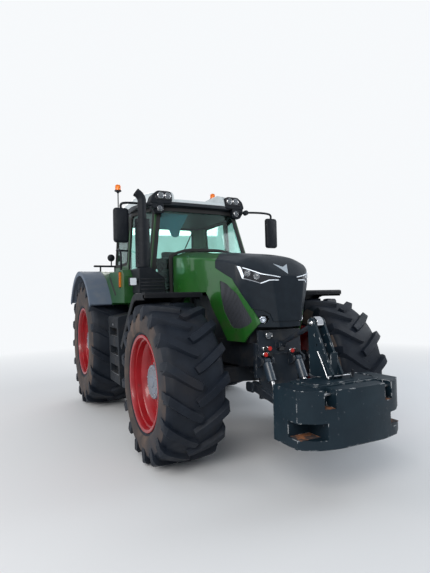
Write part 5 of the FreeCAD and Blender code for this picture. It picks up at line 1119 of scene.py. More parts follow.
guide_skin = hood_skin("guide_skin", 0.003, 0.01)
for side, way in SIDES:
    tray = lamp_tray(f"headlamp_{side}_tray", way, 0.018, 0.003)
    finished(tray, gloss_black, "bonnet", angle=32)
    if side == "right":
        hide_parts("headlamps")
    strips = {
        "bar": [(0.441, 2.06), (0.42, 2.048), (0.402, 1.95), (0.406, 1.926), (0.415, 1.922)],
        "upper": [(0.408, 2.041), (0.282, 1.965), (0.101, 1.929), (0.104, 1.921), (0.284, 1.957),
                  (0.404, 2.028)],
        "lower": [(0.287, 1.862), (0.218, 1.892), (0.123, 1.891), (0.119, 1.899), (0.22, 1.9),
                  (0.291, 1.87)],
        "outer": [(0.414, 1.922), (0.288, 1.862), (0.29, 1.869), (0.412, 1.929)],
    }
    for label, line in strips.items():
        strip_area = prism(f"strip_{label}_{side}", "Y", sided(line, way), -2.2, -1.66)
        hood_panel(f"headlamp_{side}_guide_{label}", guide if label != "outer" else reflector,
                   ("INTERSECT", strip_area), source=guide_skin, slot="glass", bevel=0.0008)
        bpy.data.objects.remove(strip_area)
    for number, (x, z) in enumerate(((0.381, 1.973), (0.319, 1.938))):
        spot = on_skin(x * way, z, 0.01)
        round_lens(f"headlamp_{side}_{number + 1}", spot, skin_normal(x * way, z), 0.03, "bonnet")
    low_spot = on_skin(0.243 * way, 1.495, 0.02)
    round_lens(f"low_lamp_{side}", low_spot, (skin_normal(0.243 * way, 1.495) + Vector((0, -1,
                                                                                        0))).normalized(),
               0.031, "bonnet")
trim_skin = hood_skin("trim_skin", -0.0025, 0.006)
trim_area = prism("trim_area", "Z", [(0.0, -2.043), (0.086, -1.905), (0.0, -1.955), (-0.086, -1.905)],
                  1.895, 2.3)
hood_panel("nose_trim", pale_trim, ("INTERSECT", trim_area), source=trim_skin, slot="steel_parts",
           bevel=0.0006)
for helper in (trim_skin, trim_area, skin, deep_skin, mesh_skin, guide_skin, ring_hole, side_area,
               lid_hole, lid_area, nose_area, lower_area, lower_gap, mesh_area, *lamp_holes, *low_holes):
    bpy.data.objects.remove(helper)
print("headlamps fitted")

# %% [markdown]
# The front ballast is a cast block that is picked up like any other tool. Its front is bowed, its corners
# are cut back, forklift pockets run in at the corners and two lifting notches sit in the top edge. The
# block is one prism with everything cut out of it, so its edges can be rounded in one go.

# %% Front ballast
def arc_line(centre, radius, first, last, steps):
    """Points along an arc, its angles in degrees from the first axis."""
    return [(centre[0] + radius * math.cos(math.radians(first + (last - first) * k / steps)),
             centre[1] + radius * math.sin(math.radians(first + (last - first) * k / steps)))
            for k in range(steps + 1)]


def box_line(left, right, low, high):
    left, right = sorted((left, right))
    return [(left, low), (right, low), (right, high), (left, high)]


def shaped(name, axis, outline, low, high, finish, body, *cuts, bevel=0.004, slot=None, replaces=()):
    """A prism with pieces cut out of it, rounded edges, a finish and the body that it rides on."""
    piece = prism(name, axis, outline, low, high)
    if cuts:
        carve(piece, *[("DIFFERENCE", tool) for tool in cuts])
        for tool in cuts:
            bpy.data.objects.remove(tool)
    finished(piece, finish, body, bevel=bevel, angle=30)
    if replaces:
        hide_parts(*replaces)
    return piece


def rod(name, points, radius, finish, body, smooth=True, sides=4):
    """A round bar, pipe or handle along a smooth curve through the points."""
    data = bpy.data.curves.new(name, "CURVE")
    data.dimensions = "3D"
    data.bevel_depth = radius
    data.bevel_resolution = sides
    data.resolution_u = 8
    data.use_fill_caps = True
    if smooth:
        spline = data.splines.new("BEZIER")
        spline.bezier_points.add(len(points) - 1)
        for point, spot in zip(spline.bezier_points, points):
            point.co = spot
            point.handle_left_type = point.handle_right_type = "AUTO"
    else:
        spline = data.splines.new("POLY")
        spline.points.add(len(points) - 1)
        for point, spot in zip(spline.points, points):
            point.co = (*spot, 1)
    made = bpy.data.objects.new(name, data)
    bpy.context.scene.collection.objects.link(made)
    made.data.materials.append(finish.material)
    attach(made, body)
    return made


HALF, KNEE, FRONT, KNEE_Y, SHOULDER_Y, BACK = 0.564, 0.44, -3.039, -2.972, -2.88, -2.55
LOW, HIGH = 0.501, 0.97
sag = KNEE_Y - FRONT
bow = (KNEE * KNEE + sag * sag) / (2 * sag)
front_line = [(KNEE * k / 12,
               FRONT + bow - math.sqrt(bow * bow - (KNEE * k / 12) ** 2)) for k in range(-12, 13)]
block_line = [(-HALF, BACK), (-HALF, SHOULDER_Y)] + front_line + [(HALF, SHOULDER_Y), (HALF, BACK)]
pockets, notches = [], []
for side, way in SIDES:
    pockets.append(prism(f"pocket_{side}", "Z", box_line(0.345 * way, 0.6 * way, -3.1, -2.76), 0.578,
                         0.71))
    notches.append(prism(f"notch_{side}", "Z", box_line(0.27 * way, 0.37 * way, -3.1, -2.895), 0.82, 1.0))
skew = prism("skew", "X", [(-3.1, 0.4), (-3.1, 0.56), (-3.02, 0.5), (-2.95, 0.4)], -0.7, 0.7)
block = shaped("ballast_block", "Z", block_line, LOW, HIGH, ballast, "ballast", *pockets, *notches, skew,
               bevel=0.006, slot="ballast_paint", replaces=("front_weight",))
shaped("ballast_carrier", "Z", box_line(-0.459, 0.459, BACK + 0.002, -2.421), 0.621, 0.899, hitch_paint,
       "ballast", *[prism("link_slot", "Z", box_line(0.4 * way - 0.034, 0.4 * way + 0.034, -2.54, -2.4),
                          0.6, 0.92) for side, way in SIDES], slot="ballast_paint")
LID_LINE = [(-0.4, -2.552), (-0.4, -2.8), (-0.33, -2.888), (0.33, -2.888), (0.4, -2.8), (0.4, -2.552)]
shaped("ballast_lid", "Z", softened(LID_LINE, 0.05), HIGH - 0.004, 0.984, ballast, "ballast", bevel=0.004,
       slot="ballast_paint")
shaped("ballast_lid_rim", "Z", softened(grown(LID_LINE, -0.03), 0.035), 0.983, 0.9895, ballast, "ballast",
       prism("rim_hole", "Z", softened(grown(LID_LINE, -0.042), 0.028), 0.9, 1.1), bevel=0.001,
       slot="ballast_paint")
for side, way in SIDES:
    shaped(f"ballast_{side}_notch_floor", "Z", box_line(0.272 * way, 0.368 * way, -3.0, -2.897), 0.8205,
           0.8225, rust, "ballast", bevel=0, slot="ballast_paint")
    shaped(f"ballast_{side}_pocket_floor", "Z", box_line(0.35 * way, 0.545 * way, -2.905, -2.762), 0.5785,
           0.5805, rust, "ballast", bevel=0, slot="ballast_paint")
    rod(f"ballast_{side}_lifting_bar", [(0.272 * way, -2.945, 0.925), (0.368 * way, -2.945, 0.925)],
        0.012, steel, "ballast", smooth=False)
print("ballast has", len(block.data.polygons), "faces before its edges are rounded")

# %% [markdown]
# A tower of two plates on the block takes the upper link. The plates are narrow at the top, kink where
# they are stiffened and carry a row of holes. A bright catch holds the link's ball down on its pin, and
# a lock rod leads from it to a lever on the lid.

# %% Tower and catch
TOWER_Y, TOWER_Z = -2.47, 1.47
plate_line = [(-2.431, 0.983), (-2.719, 0.983), (-2.745, 1.03), (-2.64, 1.22), (-2.53, 1.45)]
plate_line += arc_line((TOWER_Y, TOWER_Z), 0.05, 185, 0, 8)
for side, way in SIDES:
    holes = [turned(f"tower_hole_{k}", (0, y, z), [(-0.1, 0.0), (-0.1, 0.011), (0.1, 0.011), (0.1, 0.0)],
                    steps=20, closed=False) for k, (y, z) in enumerate(((-2.52, 1.36), (-2.54, 1.27),
                                                                        (-2.565, 1.18)))]
    shaped(f"tower_{side}_plate", "X", plate_line, 0.041 * way, 0.064 * way, ballast, "ballast", *holes,
           bevel=0.003, slot="ballast_paint")
    shaped(f"tower_{side}_foot", "X", [(-2.45, 0.984), (-2.7, 0.984), (-2.66, 1.06), (-2.5, 1.06)],
           0.03 * way, 0.041 * way, ballast, "ballast", bevel=0.002, slot="ballast_paint")
shaped("tower_brace", "Y", box_line(-0.04, 0.04, 0.985, 1.215), -2.7, -2.69, ballast, "ballast",
       bevel=0.002, slot="ballast_paint")
ring_of_nuts("tower_pin_nuts", (-0.0645, TOWER_Y, TOWER_Z), 0.0, 1, 0.02, -1, chrome, "ballast")
catch_line = arc_line((TOWER_Y, TOWER_Z), 0.0495, 200, -20, 16) + arc_line((TOWER_Y, TOWER_Z), 0.06, -20,
                                                                           200, 16)
shaped("tower_catch", "X", catch_line, -0.036, 0.036, chrome, "ballast", bevel=0.002, slot="steel_parts")
rod("tower_lock_rod", [(-0.07, -2.56, 1.215), (-0.072, -2.62, 1.12), (-0.085, -2.7, 1.0)], 0.006, chrome,
    "ballast", smooth=False)
rod("lid_lever", [(-0.09, -2.72, 0.992), (-0.09, -2.72, 1.012), (0.14, -2.74, 1.012),
                  (0.16, -2.74, 0.992)], 0.008, steel, "ballast", smooth=False)
rod("lid_lever_grip", [(0.165, -2.74, 0.99), (0.17, -2.745, 1.055)], 0.011, grain, "ballast",
    smooth=False)
print("tower fitted")

# %% [markdown]
# The panel between the hood and the linkage carries the couplings for the tool's oil hoses, a socket and
# a small lamp. Couplings are bright steel with a coloured dust cap, and each hangs on its own ring.

# %% Couplings on the front panel
STUBS = ((-0.215, 1.13), (-0.165, 1.13), (-0.215, 1.19), (-0.165, 1.19), (0.12, 1.15), (0.17, 1.15))
for number, (x, z) in enumerate(STUBS):
    spun(f"coupling_{number + 1}", (x, 0, z), [(-1.861, 0.0185), (-1.88, 0.0185), (-1.883, 0.021),
                                               (-1.896, 0.021), (-1.899, 0.0175), (-1.912, 0.0175),
                                               (-1.915, 0.014), (-1.915, 0.0), (-1.861, 0.0)], chrome,
         "chassis", steps=28, axis="Y", closed=False, angle=30)
    spun(f"coupling_{number + 1}_cap", (x, 0, z), [(-1.9145, 0.0), (-1.9145, 0.0225), (-1.926, 0.0225),
                                                   (-1.931, 0.017), (-1.931, 0.0)],
         red_plastic if number in (0, 3, 4) else seal_rubber, "chassis", steps=28,
         axis="Y", closed=False, angle=30)
round_lens("panel_lamp", Vector((-0.15, -1.886, 1.325)), Vector((0, -1, 0)), 0.034, "chassis")
shaped("panel_socket", "Y", softened(box_line(-0.035, 0.035, 1.15, 1.215), 0.012), -1.89, -1.861, grain,
       "chassis", bevel=0.003, slot="black_steel")
shaped("panel_socket_lid", "Y", softened(box_line(-0.03, 0.03, 1.156, 1.209), 0.012), -1.897, -1.8905,
       gloss_black, "chassis", bevel=0.002, slot="black_steel")
print(len(STUBS), "couplings on the panel")

# %% [markdown]
# The cab is a frame with large panes. Black rubber profiles seal the glass, and a broad black arch closes
# the gap behind the hood. The cab's faces lean, so each profile asks the same rule for the place of the
# face that the frame was drawn with.

# %% Seals round the glass and behind the hood
SILL, EAVE, POST_Y = 2.19, 3.08, 0.88


def lean(z):
    return max(0.0, (z - SILL) / (EAVE - SILL))


def pillar(z):
    return 0.8 - 0.16 * lean(z), 0.04 + 0.2 * lean(z)


def front_face(x, z):
    """The windscreen side of the cab frame as a point."""
    edge, y = pillar(z)
    return Vector((x, y - 0.05 * min(1.0, (edge - abs(x)) / (edge * 0.5)), z))


def side_face(y, z, way):
    x, front = pillar(z)
    post = 0.9 - 0.06 * lean(z)
    return Vector(((x + (post - x) * min(1.0, max(0.0, (y - front) / (POST_Y - front)))) * way, y, z))


def profile_round(name, outline, width, place, outward, thickness, finish, body):
    """A flat profile that follows a closed outline on a face of the cab."""
    rings = [grown(softened(outline, 0.07, 6), amount) for amount in (-width * 0.4, width * 0.6)]
    work = bmesh.new()
    layers = []
    for lift in (0.004 - thickness, 0.004):
        for ring in rings:
            layers.append([work.verts.new(place(a, b) + outward * lift) for a, b in ring])
    inner_low, outer_low, inner_high, outer_high = layers
    count = len(inner_low)
    for k in range(count):
        n = (k + 1) % count
        for first, second in ((inner_low, outer_low), (outer_low, outer_high), (outer_high, inner_high),
                              (inner_high, inner_low)):
            work.faces.new((first[k], first[n], second[n], second[k]))
    piece = from_bmesh(name, work)
    finished(piece, finish, body, bevel=0.0015, angle=40)
    return piece


SCREEN = [(-0.75, 1.8), (0.75, 1.8), (0.75, SILL), (0.592, 3.03), (-0.592, 3.03), (-0.75, SILL)]
screen_steps = []
for first, second in zip(SCREEN, SCREEN[1:] + SCREEN[:1]):
    pieces = 8 if abs(first[0] - second[0]) > 0.5 else 1
    screen_steps += [tuple(Vector(first).lerp(Vector(second), k / pieces)) for k in range(pieces)]
profile_round("windscreen_seal", screen_steps, 0.055, front_face, Vector((0, -1, 0)), 0.026, seal_rubber,
              "chassis")
head = pillar(3.04)[1] + 0.05
for side, way in SIDES:
    if side == "right":
        window = [(0.09, 1.9), (0.86, 1.9), (0.86, 3.04), (head, 3.04), (0.09, SILL)]
        profile_round("side_window_seal", window, 0.045, lambda y, z: side_face(y, z, -1),
                      Vector((-1, 0, 0)), 0.024, seal_rubber, "chassis")
    quarter = box_line(0.93, 1.68, 2.3, 3.03)
    profile_round(f"quarter_{side}_seal", quarter, 0.045, lambda y, z, way=way: side_face(y, z, way),
                  Vector((way, 0, 0)), 0.024, seal_rubber, "chassis")
door_pane = [(0.166, 1.546), (0.784, 1.546), (0.784, 2.964), (pillar(2.964)[1] + 0.126, 2.964),
             (0.166, SILL)]
profile_round("door_seal", door_pane, 0.03, lambda y, z: side_face(y, z, 1) - Vector((0.002, 0, 0)),
              Vector((1, 0, 0)), 0.016, seal_rubber, "door_left")
rear_line = box_line(-0.6, 0.6, 1.7, 3.03)
profile_round("rear_window_seal", rear_line, 0.05, lambda x, z: Vector((x, 1.8, z)), Vector((0, 1, 0)),
              0.024, seal_rubber, "chassis")


def arch_points(spare):
    """The hood's section at its rear end, grown by spare."""
    half, foot, top, crown, waist = STATIONS[0][1:]
    line = [(half + spare, 1.812), (half + spare, top - crown + spare * 0.6),
            (half * 0.6, top - crown * 0.25 + spare), (0.0, top - crown * 0.25 + spare + 0.004)]
    right = rounded(line, (0.06, 0.12), 8)
    return [(-x, z) for x, z in right] + [(x, z) for x, z in reversed(right[:-1])]


shaped("hood_arch", "Y", arch_points(0.052) + arch_points(0.007)[::-1], -0.056, -0.012, seal_rubber,
       "chassis", bevel=0.008, slot="dark_panel")
print("seals laid")

# %% [markdown]
# The pale roof is a lofted shell with soft shoulders. Its middle is scooped down towards the front, so
# that the driver sees a raised loader, and lamp pods fill its front corners. The pods hold two round
# lamps each, and a single lamp hangs below each pod at the head of the pillar.

# %% Roof
def layered(name, sections, axis="Z"):
    """A closed solid through outlines in a row along an axis, all with the same number of points."""
    work = bmesh.new()
    bridged(work, [[work.verts.new(spot_on(axis, a, b, along)) for a, b in outline] for along,
                   outline in sections])
    return from_bmesh(name, work)


def roof_line(inset):
    front, rear = 0.15 + inset, 1.9 - inset
    half, fore = 0.88 - inset, 0.72 - inset
    right = [(fore * 0.55, front - 0.04), (fore, front + 0.04), (half, 0.58), (half, rear - 0.14),
             (half - 0.16, rear)]
    return softened([(-x, y) for x, y in right] + right[::-1], 0.12, 5)


ROOF_LAYERS = ((3.0805, 0.022), (3.09, 0.006), (3.11, 0.001), (3.16, 0.001), (3.215, 0.012),
               (3.25, 0.027), (3.285, 0.07), (3.31, 0.11), (3.328, 0.155), (3.338, 0.2), (3.342, 0.25))
roof = layered("roof_shell", [(z, roof_line(inset)) for z, inset in ROOF_LAYERS])
scoop_line = [(0.0, 3.176), (0.15, 3.176), (1.05, 3.343), (1.05, 3.6), (0.0, 3.6)]
scoop = prism("scoop", "X", scoop_line, -0.4, 0.4)
pod_room = [prism("pod_room", "X", box_line(0.0, 0.3, 3.14, 3.42), 0.428 * way, 0.69 * way)
            for side, way in SIDES]
carve(roof, ("DIFFERENCE", scoop), *[("DIFFERENCE", room) for room in pod_room])
for tool in (scoop, *pod_room):
    bpy.data.objects.remove(tool)
finished(roof, roof_paint, "chassis", bevel=0.01, angle=30)
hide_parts("cab_roof")
shaped("roof_gutter", "Z", grown(roof_line(0.001), 0.004), 3.128, 3.133, seal_rubber, "chassis",
       prism("gutter_hole", "Z", grown(roof_line(0.001), -0.01), 3.0, 3.2), bevel=0, slot="roof_panel")

# %% [markdown]
# Work lamps sit in moulded pods at the roof's front corners, and a smaller box hangs below each pod. The
# pods are prisms over a rounded outline with a gloss face, and every lens comes from one helper, so that
# all lamps look alike. Two beacons stand on thin stems, and tail lamps sit on the rear fenders.

# %% Lamp pods, low lamps, tail lamps and beacons
def around_wheel(*corners):
    """Points (y, z) from their distance to the rear axle and their angle in degrees."""
    points = []
    for radius, angle in corners:
        turn_angle = math.radians(angle)
        points.append((1.89 + radius * math.cos(turn_angle), 1.05 + radius * math.sin(turn_angle)))
    return points


for side, way in SIDES:
    pod_line = softened([(0.44, 3.1), (0.44, 3.262), (0.48, 3.283), (0.655, 3.283), (0.735, 3.215),
                         (0.765, 3.12), (0.73, 3.09)], 0.03)
    shaped(f"lamp_pod_{side}", "Y", sided(pod_line, way), 0.112, 0.298, grain, "chassis",
           bevel=0.012, slot="black_steel", replaces=("lamps",) if side == "right" else ())
    face_line = softened([(0.452, 3.15), (0.452, 3.272), (0.648, 3.272), (0.69, 3.2), (0.69, 3.15)], 0.03)
    shaped(f"lamp_pod_{side}_face", "Y", sided(face_line, way), 0.104, 0.1125, gloss_black, "chassis",
           bevel=0.003, slot="black_steel")
    for number, x in enumerate((0.505, 0.612)):
        round_lens(f"roof_lamp_{side}_{number + 1}", Vector((x * way, 0.102, 3.212)), Vector((0, -1, 0)),
                   0.04, "chassis")
    low_line = softened([(0.56, 2.975), (0.56, 3.112), (0.745, 3.112), (0.745, 3.04), (0.69, 2.955),
                         (0.59, 2.955)], 0.02)
    shaped(f"low_lamp_box_{side}", "Y", sided(low_line, way), 0.118, 0.206, grain, "chassis",
           bevel=0.008, slot="black_steel")
    round_lens(f"pillar_lamp_{side}", Vector((0.622 * way, 0.116, 3.024)), Vector((0, -1, 0)), 0.036,
               "chassis")
    tail = around_wheel((1.187, 46), (1.187, 40), (1.265, 40), (1.265, 46))
    shaped(f"tail_lamp_{side}", "X", softened(tail, 0.01), 0.9 * way, 1.12 * way, grain, "chassis",
           bevel=0.004, slot="black_steel")
    lens_line = around_wheel((1.195, 39.85), (1.195, 39.6), (1.257, 39.6), (1.257, 39.85))
    shaped(f"tail_lamp_{side}_lens", "X", lens_line, 0.91 * way, 1.04 * way, red_plastic, "chassis",
           bevel=0.001, slot="glass")
    shaped(f"tail_lamp_{side}_turn_lens", "X", lens_line, 1.045 * way, 1.11 * way, amber, "chassis",
           bevel=0.001, slot="amber")
for side, x, low in (("right", -0.92, 3.16), ("left", 0.82, 3.25)):
    stem = spun(f"beacon_{side}_stem", (x, 1.33, 0), [(low, 0.0), (low, 0.02), (low + 0.012, 0.02),
                                                      (low + 0.016, 0.009), (3.49, 0.009), (3.51, 0.026),
                                                      (3.522, 0.032), (3.525, 0.056), (3.541, 0.056),
                                                      (3.544, 0.05), (3.544, 0.0)], grain, "chassis",
                steps=36, axis="Z", closed=False, angle=30)
    spun(f"beacon_{side}_dome", (x, 1.33, 0), [(3.5445, 0.0), (3.5445, 0.047), (3.558, 0.0475),
                                               (3.56, 0.0455), (3.612, 0.045), (3.628, 0.038),
                                               (3.636, 0.022), (3.638, 0.0)], amber, "chassis",
         steps=36, axis="Z", closed=False, angle=40)
    if side == "right":
        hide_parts("beacons")
shaped("beacon_bracket", "Y", [(-0.932, 3.148), (-0.932, 3.16), (-0.865, 3.16), (-0.865, 3.148)], 1.3,
       1.36, grain, "chassis", bevel=0.002, slot="black_steel")
print("roof and lamps fitted")

# %% [markdown]
# The exhaust stands beside the cab. A perforated shroud keeps hands off the hot pipe, and the pipe's end
# turns away from the cab. The shroud is a grid of faces with a few left out at its two sides, which gives
# true holes without cutting any. The pipe is a ring of points carried along a path with a bend in it.

# %% Exhaust
STACK_X, STACK_Y, STACK_LOW, STACK_HIGH = -0.94, -0.06, 2.16, 2.82
around, rows = 96, 43
heights = [STACK_LOW + 0.004]
for row in range(rows):
    heights.append(heights[-1] + (0.014 if row % 2 else 0.0155))
heights.append(STACK_HIGH - 0.004)
points = [(STACK_X + 0.0985 * math.cos(2 * math.pi * k / around),
           STACK_Y + 0.0985 * math.sin(2 * math.pi * k / around),
           z) for z in heights for k in range(around)]
faces = []
for row in range(len(heights) - 1):
    for k in range(around):
        shift = 3 if row % 4 == 1 else 0
        column = (k + shift) % 48
        if row % 2 and 2 < row < len(heights) - 4 and column in (3, 4, 9, 10):
            continue
        n = (k + 1) % around
        faces.append((row * around + k, row * around + n, (row + 1) * around + n, (row + 1) * around + k))
shroud = mesh_object("exhaust_shroud", points, faces)
wall = shroud.modifiers.new("wall", "SOLIDIFY")
wall.thickness = 0.003
finished(shroud, grain, "chassis", angle=40)
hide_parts("exhaust_stack")
for label, z in (("low", STACK_LOW + 0.003), ("high", STACK_HIGH - 0.017)):
    spun(f"exhaust_{label}_band", (STACK_X, STACK_Y, z), [(0.0, 0.058), (0.0, 0.0998), (0.014, 0.0998),
                                                          (0.014, 0.058)], grain, "chassis",
         steps=48, axis="Z", bevel=0.002, angle=40)


def tube(name, path, radius, wall_thickness, finish, body, steps=32):
    """An open pipe: an outer and an inner ring carried along a path that lies in one upright plane."""
    work = bmesh.new()
    rings = []
    order = [(k, radius) for k in range(len(path))] + [(k,
                                                        radius - wall_thickness)
                                                       for k in reversed(range(len(path)))]
    for k, reach in order:
        before, after = Vector(path[max(0, k - 1)]), Vector(path[min(len(path) - 1, k + 1)])
        ahead_here = (after - before).normalized()
        across_here = ahead_here.cross(Vector((0, 1, 0))).normalized()
        other = ahead_here.cross(across_here)
        rings.append([work.verts.new(Vector(path[k])
                                     + across_here * reach * math.cos(2 * math.pi * s / steps)
                                     + other * reach * math.sin(2 * math.pi * s / steps))
                      for s in range(steps)])
    bridged(work, rings + rings[:1], caps=False)
    made = from_bmesh(name, work)
    finished(made, finish, body, angle=40)
    return made


BEND = 0.12
bend_path = [(STACK_X, STACK_Y, 2.2), (STACK_X, STACK_Y, 2.7), (STACK_X, STACK_Y, 3.04)]
bend_path += [(x, STACK_Y, z) for x, z in arc_line((STACK_X - BEND, 3.06), BEND, 0, 56, 10)]
bend_path.append((bend_path[-1][0] - 0.829 * 0.04, STACK_Y, bend_path[-1][2] + 0.559 * 0.04))
tube("exhaust_pipe", bend_path, 0.058, 0.004, grain, "chassis")
cover_line = softened([(-1.033, 1.802), (-1.033, 2.158), (-0.85, 2.158), (-0.664, 2.01), (-0.664, 1.802)],
                      0.035)
shaped("exhaust_cover", "Y", cover_line, -0.168, 0.248, grain, "chassis", bevel=0.012, slot="black_steel")
for number in range(4):
    z = 1.86 + 0.045 * number
    shaped(f"cover_rib_{number + 1}", "Z", softened(box_line(-1.01, -0.69, -0.174, -0.166), 0.003), z,
           z + 0.012, gloss_black, "chassis", bevel=0.002, slot="black_steel")
spun("exhaust_clamp", (STACK_X, STACK_Y, 2.128), [(0.0, 0.06), (0.0, 0.0725), (0.004, 0.078),
                                                  (0.02, 0.078), (0.024, 0.0725), (0.031, 0.06)], chrome,
     "chassis", steps=40, axis="Z")
print("exhaust shroud has", len(faces), "faces")

# %% [markdown]
# The mirrors hang far out on thin arms, so that the driver sees past the rear wheels. Each head is a
# moulded bowl with the glass let into its rear, and the arm is a bent tube that meets a joint block at the
# cab. Rails and the door's handle are bent round bars, which a curve with a round section makes in one
# step.

# %% Mirrors, rails and the door handle
for side, way in SIDES:
    outline = softened(box_line(1.101, 1.309, 2.502, 2.973), 0.05, 7)
    layers = ((-0.0045, 0.04), (0.002, 0.02), (0.014, 0.006), (0.03, 0.0), (0.052, 0.0), (0.0545, 0.003))
    bowl = layered(f"mirror_{side}_bowl", [(y, sided(grown(outline, -shrink), way)) for y,
                                           shrink in layers], "Y")
    finished(bowl, grain, "chassis", angle=50)
    if side == "right":
        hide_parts("mirrors")
    shaped(f"mirror_{side}_glass", "Y", sided(grown(outline, -0.014), way), 0.0546, 0.0562, chrome,
           "chassis", bevel=0.0005, slot="glass")
    rod(f"mirror_{side}_arm", [(0.7 * way, 0.235, 3.036), (0.705 * way, 0.06, 3.036),
                               (0.74 * way, 0.03, 3.037), (1.17 * way, 0.03, 3.04),
                               (1.203 * way, 0.034, 3.02), (1.205 * way, 0.036, 2.96)], 0.0165, grain,
        "chassis")
    spun(f"mirror_{side}_boss", (0.742 * way, 0.03, 3.034), [(-0.03, 0.0), (-0.03, 0.03), (-0.024, 0.038),
                                                             (0.024, 0.04), (0.03, 0.034), (0.03, 0.0)],
         grain, "chassis", steps=36, axis="Y", closed=False)
    shaped(f"mirror_{side}_joint", "Z", softened(box_line(0.672 * way, 0.73 * way, 0.212, 0.262), 0.012),
           3.012, 3.06, grain, "chassis", bevel=0.004, slot="black_steel")
rod("right_rail", [(-1.07, 0.62, 1.85), (-1.07, 0.62, 2.15), (-1.07, 0.62, 2.38), (-1.07, 0.65, 2.45),
                   (-1.07, 0.73, 2.488), (-1.07, 0.858, 2.49)], 0.0155, grain, "chassis")
shaped("right_rail_bracket", "Z", box_line(-1.078, -0.89, 0.852, 0.873), 2.476, 2.504, grain, "chassis",
       bevel=0.003, slot="black_steel", replaces=("handrails",))
rod("left_rail", [(1.01, 0.06, 1.5), (1.01, 0.04, 1.64), (1.01, 0.031, 1.76), (1.01, 0.03, 2.1)], 0.0155,
    grain, "chassis")
shaped("left_rail_bracket", "Z", box_line(0.815, 1.024, 0.047, 0.073), 1.484, 1.508, grain, "chassis",
       bevel=0.003, slot="black_steel")
handle = side_face(0.2, 1.96, 1).x
shaped("door_handle_plate", "X", softened(box_line(0.128, 0.164, 1.9, 2.04), 0.012), handle - 0.004,
       handle + 0.004, gloss_black, "door_left", bevel=0.002, slot="black_steel")
rod("door_handle", [(handle + 0.006, 0.146, 1.915), (handle + 0.026, 0.146, 1.93),
                    (handle + 0.026, 0.146, 2.01), (handle + 0.006, 0.146, 2.025)], 0.007, grain,
    "door_left")

# %% [markdown]
# Steps on the left lead up to the door, and a tall locker with treads stands on the right. A tread could be
# painted on, but slots cut through the boards give true edges that catch the light. The tanks beside them
# are plain moulded boxes with large rounded corners.

# %% Steps, tool box and side tanks
for number in range(4):
    level, out = 0.5 + 0.265 * number, 1.2 - 0.025 * number
    grips = [prism("grip", "Z", softened(box_line(0.93 + 0.05 * k, 0.95 + 0.05 * k, 0.25, 0.61), 0.009,
                                         3), level - 0.01, level + 0.05) for k in range(4)]
    shaped(f"step_{number + 1}", "Z", box_line(0.901, out - 0.001, 0.2185, 0.6395), level + 0.001,
           level + 0.029, cast, "chassis", *grips, bevel=0.004, slot="black_steel",
           replaces=("steps_left",) if number == 0 else ())
for label, low_y in (("front", 0.2), ("rear", 0.64)):
    shaped(f"step_{label}_side", "Y", softened([(0.901, 0.481), (1.199, 0.481), (1.15, 1.379),
                                                (0.901, 1.379)], 0.05), low_y + 0.001, low_y + 0.0175,
           cast, "chassis", bevel=0.003, slot="black_steel")
shaped("step_carrier", "Y", [(0.86, 0.732), (0.904, 0.732), (0.904, 1.098), (0.87, 1.098)], 0.202, 0.656,
       cast, "chassis", bevel=0.003, slot="black_steel")
slots = [prism("tread_slot", "X", softened(box_line(0.2, 0.65, 0.7 + 0.26 * k, 0.82 + 0.26 * k), 0.02),
               -1.3, -1.15) for k in range(3)]
locker_line = softened([(-0.901, 0.561), (-1.229, 0.561), (-1.249, 1.499), (-0.901, 1.559)], 0.035)
shaped("tool_locker", "Y", locker_line, 0.141, 0.709, cast, "chassis", *slots, bevel=0.006,
                slot="chassis_cast", replaces=("tool_box",))
for number in range(3):
    z = 0.702 + 0.26 * number
    shaped(f"locker_tread_{number + 1}", "Z", box_line(-1.232, -1.152, 0.203, 0.647), z, z + 0.006, steel,
           "chassis", bevel=0.001, slot="steel_parts")
shaped("locker_lid", "X", softened(box_line(0.165, 0.685, 1.35, 1.48), 0.02), -1.2485, -1.244, grain,
       "chassis", bevel=0.002, slot="black_steel")
shaped("locker_latch", "X", softened(box_line(0.395, 0.455, 1.372, 1.4), 0.006), -1.2495, -1.248, steel,
       "chassis", bevel=0.0005, slot="steel_parts")
for side, way in SIDES:
    tank_line = softened([(0.4, 0.621), (0.849, 0.621), (0.879, 1.391), (0.4, 1.391)], 0.06)
    shaped(f"side_tank_{side}", "Y", sided(tank_line, way), 0.061, 0.789, grain, "chassis", bevel=0.01,
           slot="chassis_cast", replaces=("side_tanks",) if side == "right" else ())
for side, way, y in (("right", -1, 0.115), ("left", 1, 0.73)):
    spun(f"tank_cap_{side}", (0.82 * way, y, 0), [(1.3905, 0.0), (1.3905, 0.036), (1.398, 0.036),
                                                  (1.3985, 0.0)], gloss_black, "chassis",
         steps=32, axis="Z", closed=False, angle=30)
print("steps, locker and tanks done")

# %% [markdown]
# The seat is upholstered: a crowned base, a back with side bolsters and a head pad, each a closed form
# with sewn channels. The forms start from a cube grid that is pulled towards a sphere, so that the sides
# draw in between the corners as stuffed covers do.

# %% Seat
def cushion(name, centre, half, tilt, channels, crown=0.25, squareness=4.5, cells=16):
    """A stuffed pad; channels are the places of its sewn lines across the width, from -1 to 1."""
    work = bmesh.new()
    bmesh.ops.create_cube(work, size=2.0)
    bmesh.ops.subdivide_edges(work, edges=work.edges[:], cuts=cells, use_grid_fill=True)
    for vert in work.verts:
        u, v, w = vert.co
        reach = (abs(u) ** squareness + abs(v) ** squareness + abs(w) ** squareness) ** (1 / squareness)
        u, v, w = u / reach, v / reach, w / reach
        swell = 1 + crown * (1 - u * u) * (1 - v * v)
        dent = sum(math.exp(-((u - place) / 0.045) ** 2) for place in channels)
        w = (w * swell - 0.16 * dent * (1 if w > 0 else -1) * (1 - v ** 8)) / (1 + crown)
        vert.co = Vector((u * half[0], v * half[1], w * half[2]))
    piece = from_bmesh(name, work)
    piece.data.transform(Matrix.Translation(centre) @ Matrix.Rotation(math.radians(tilt), 4, "X"))
    finished(piece, weave, "chassis", angle=60)
    return piece


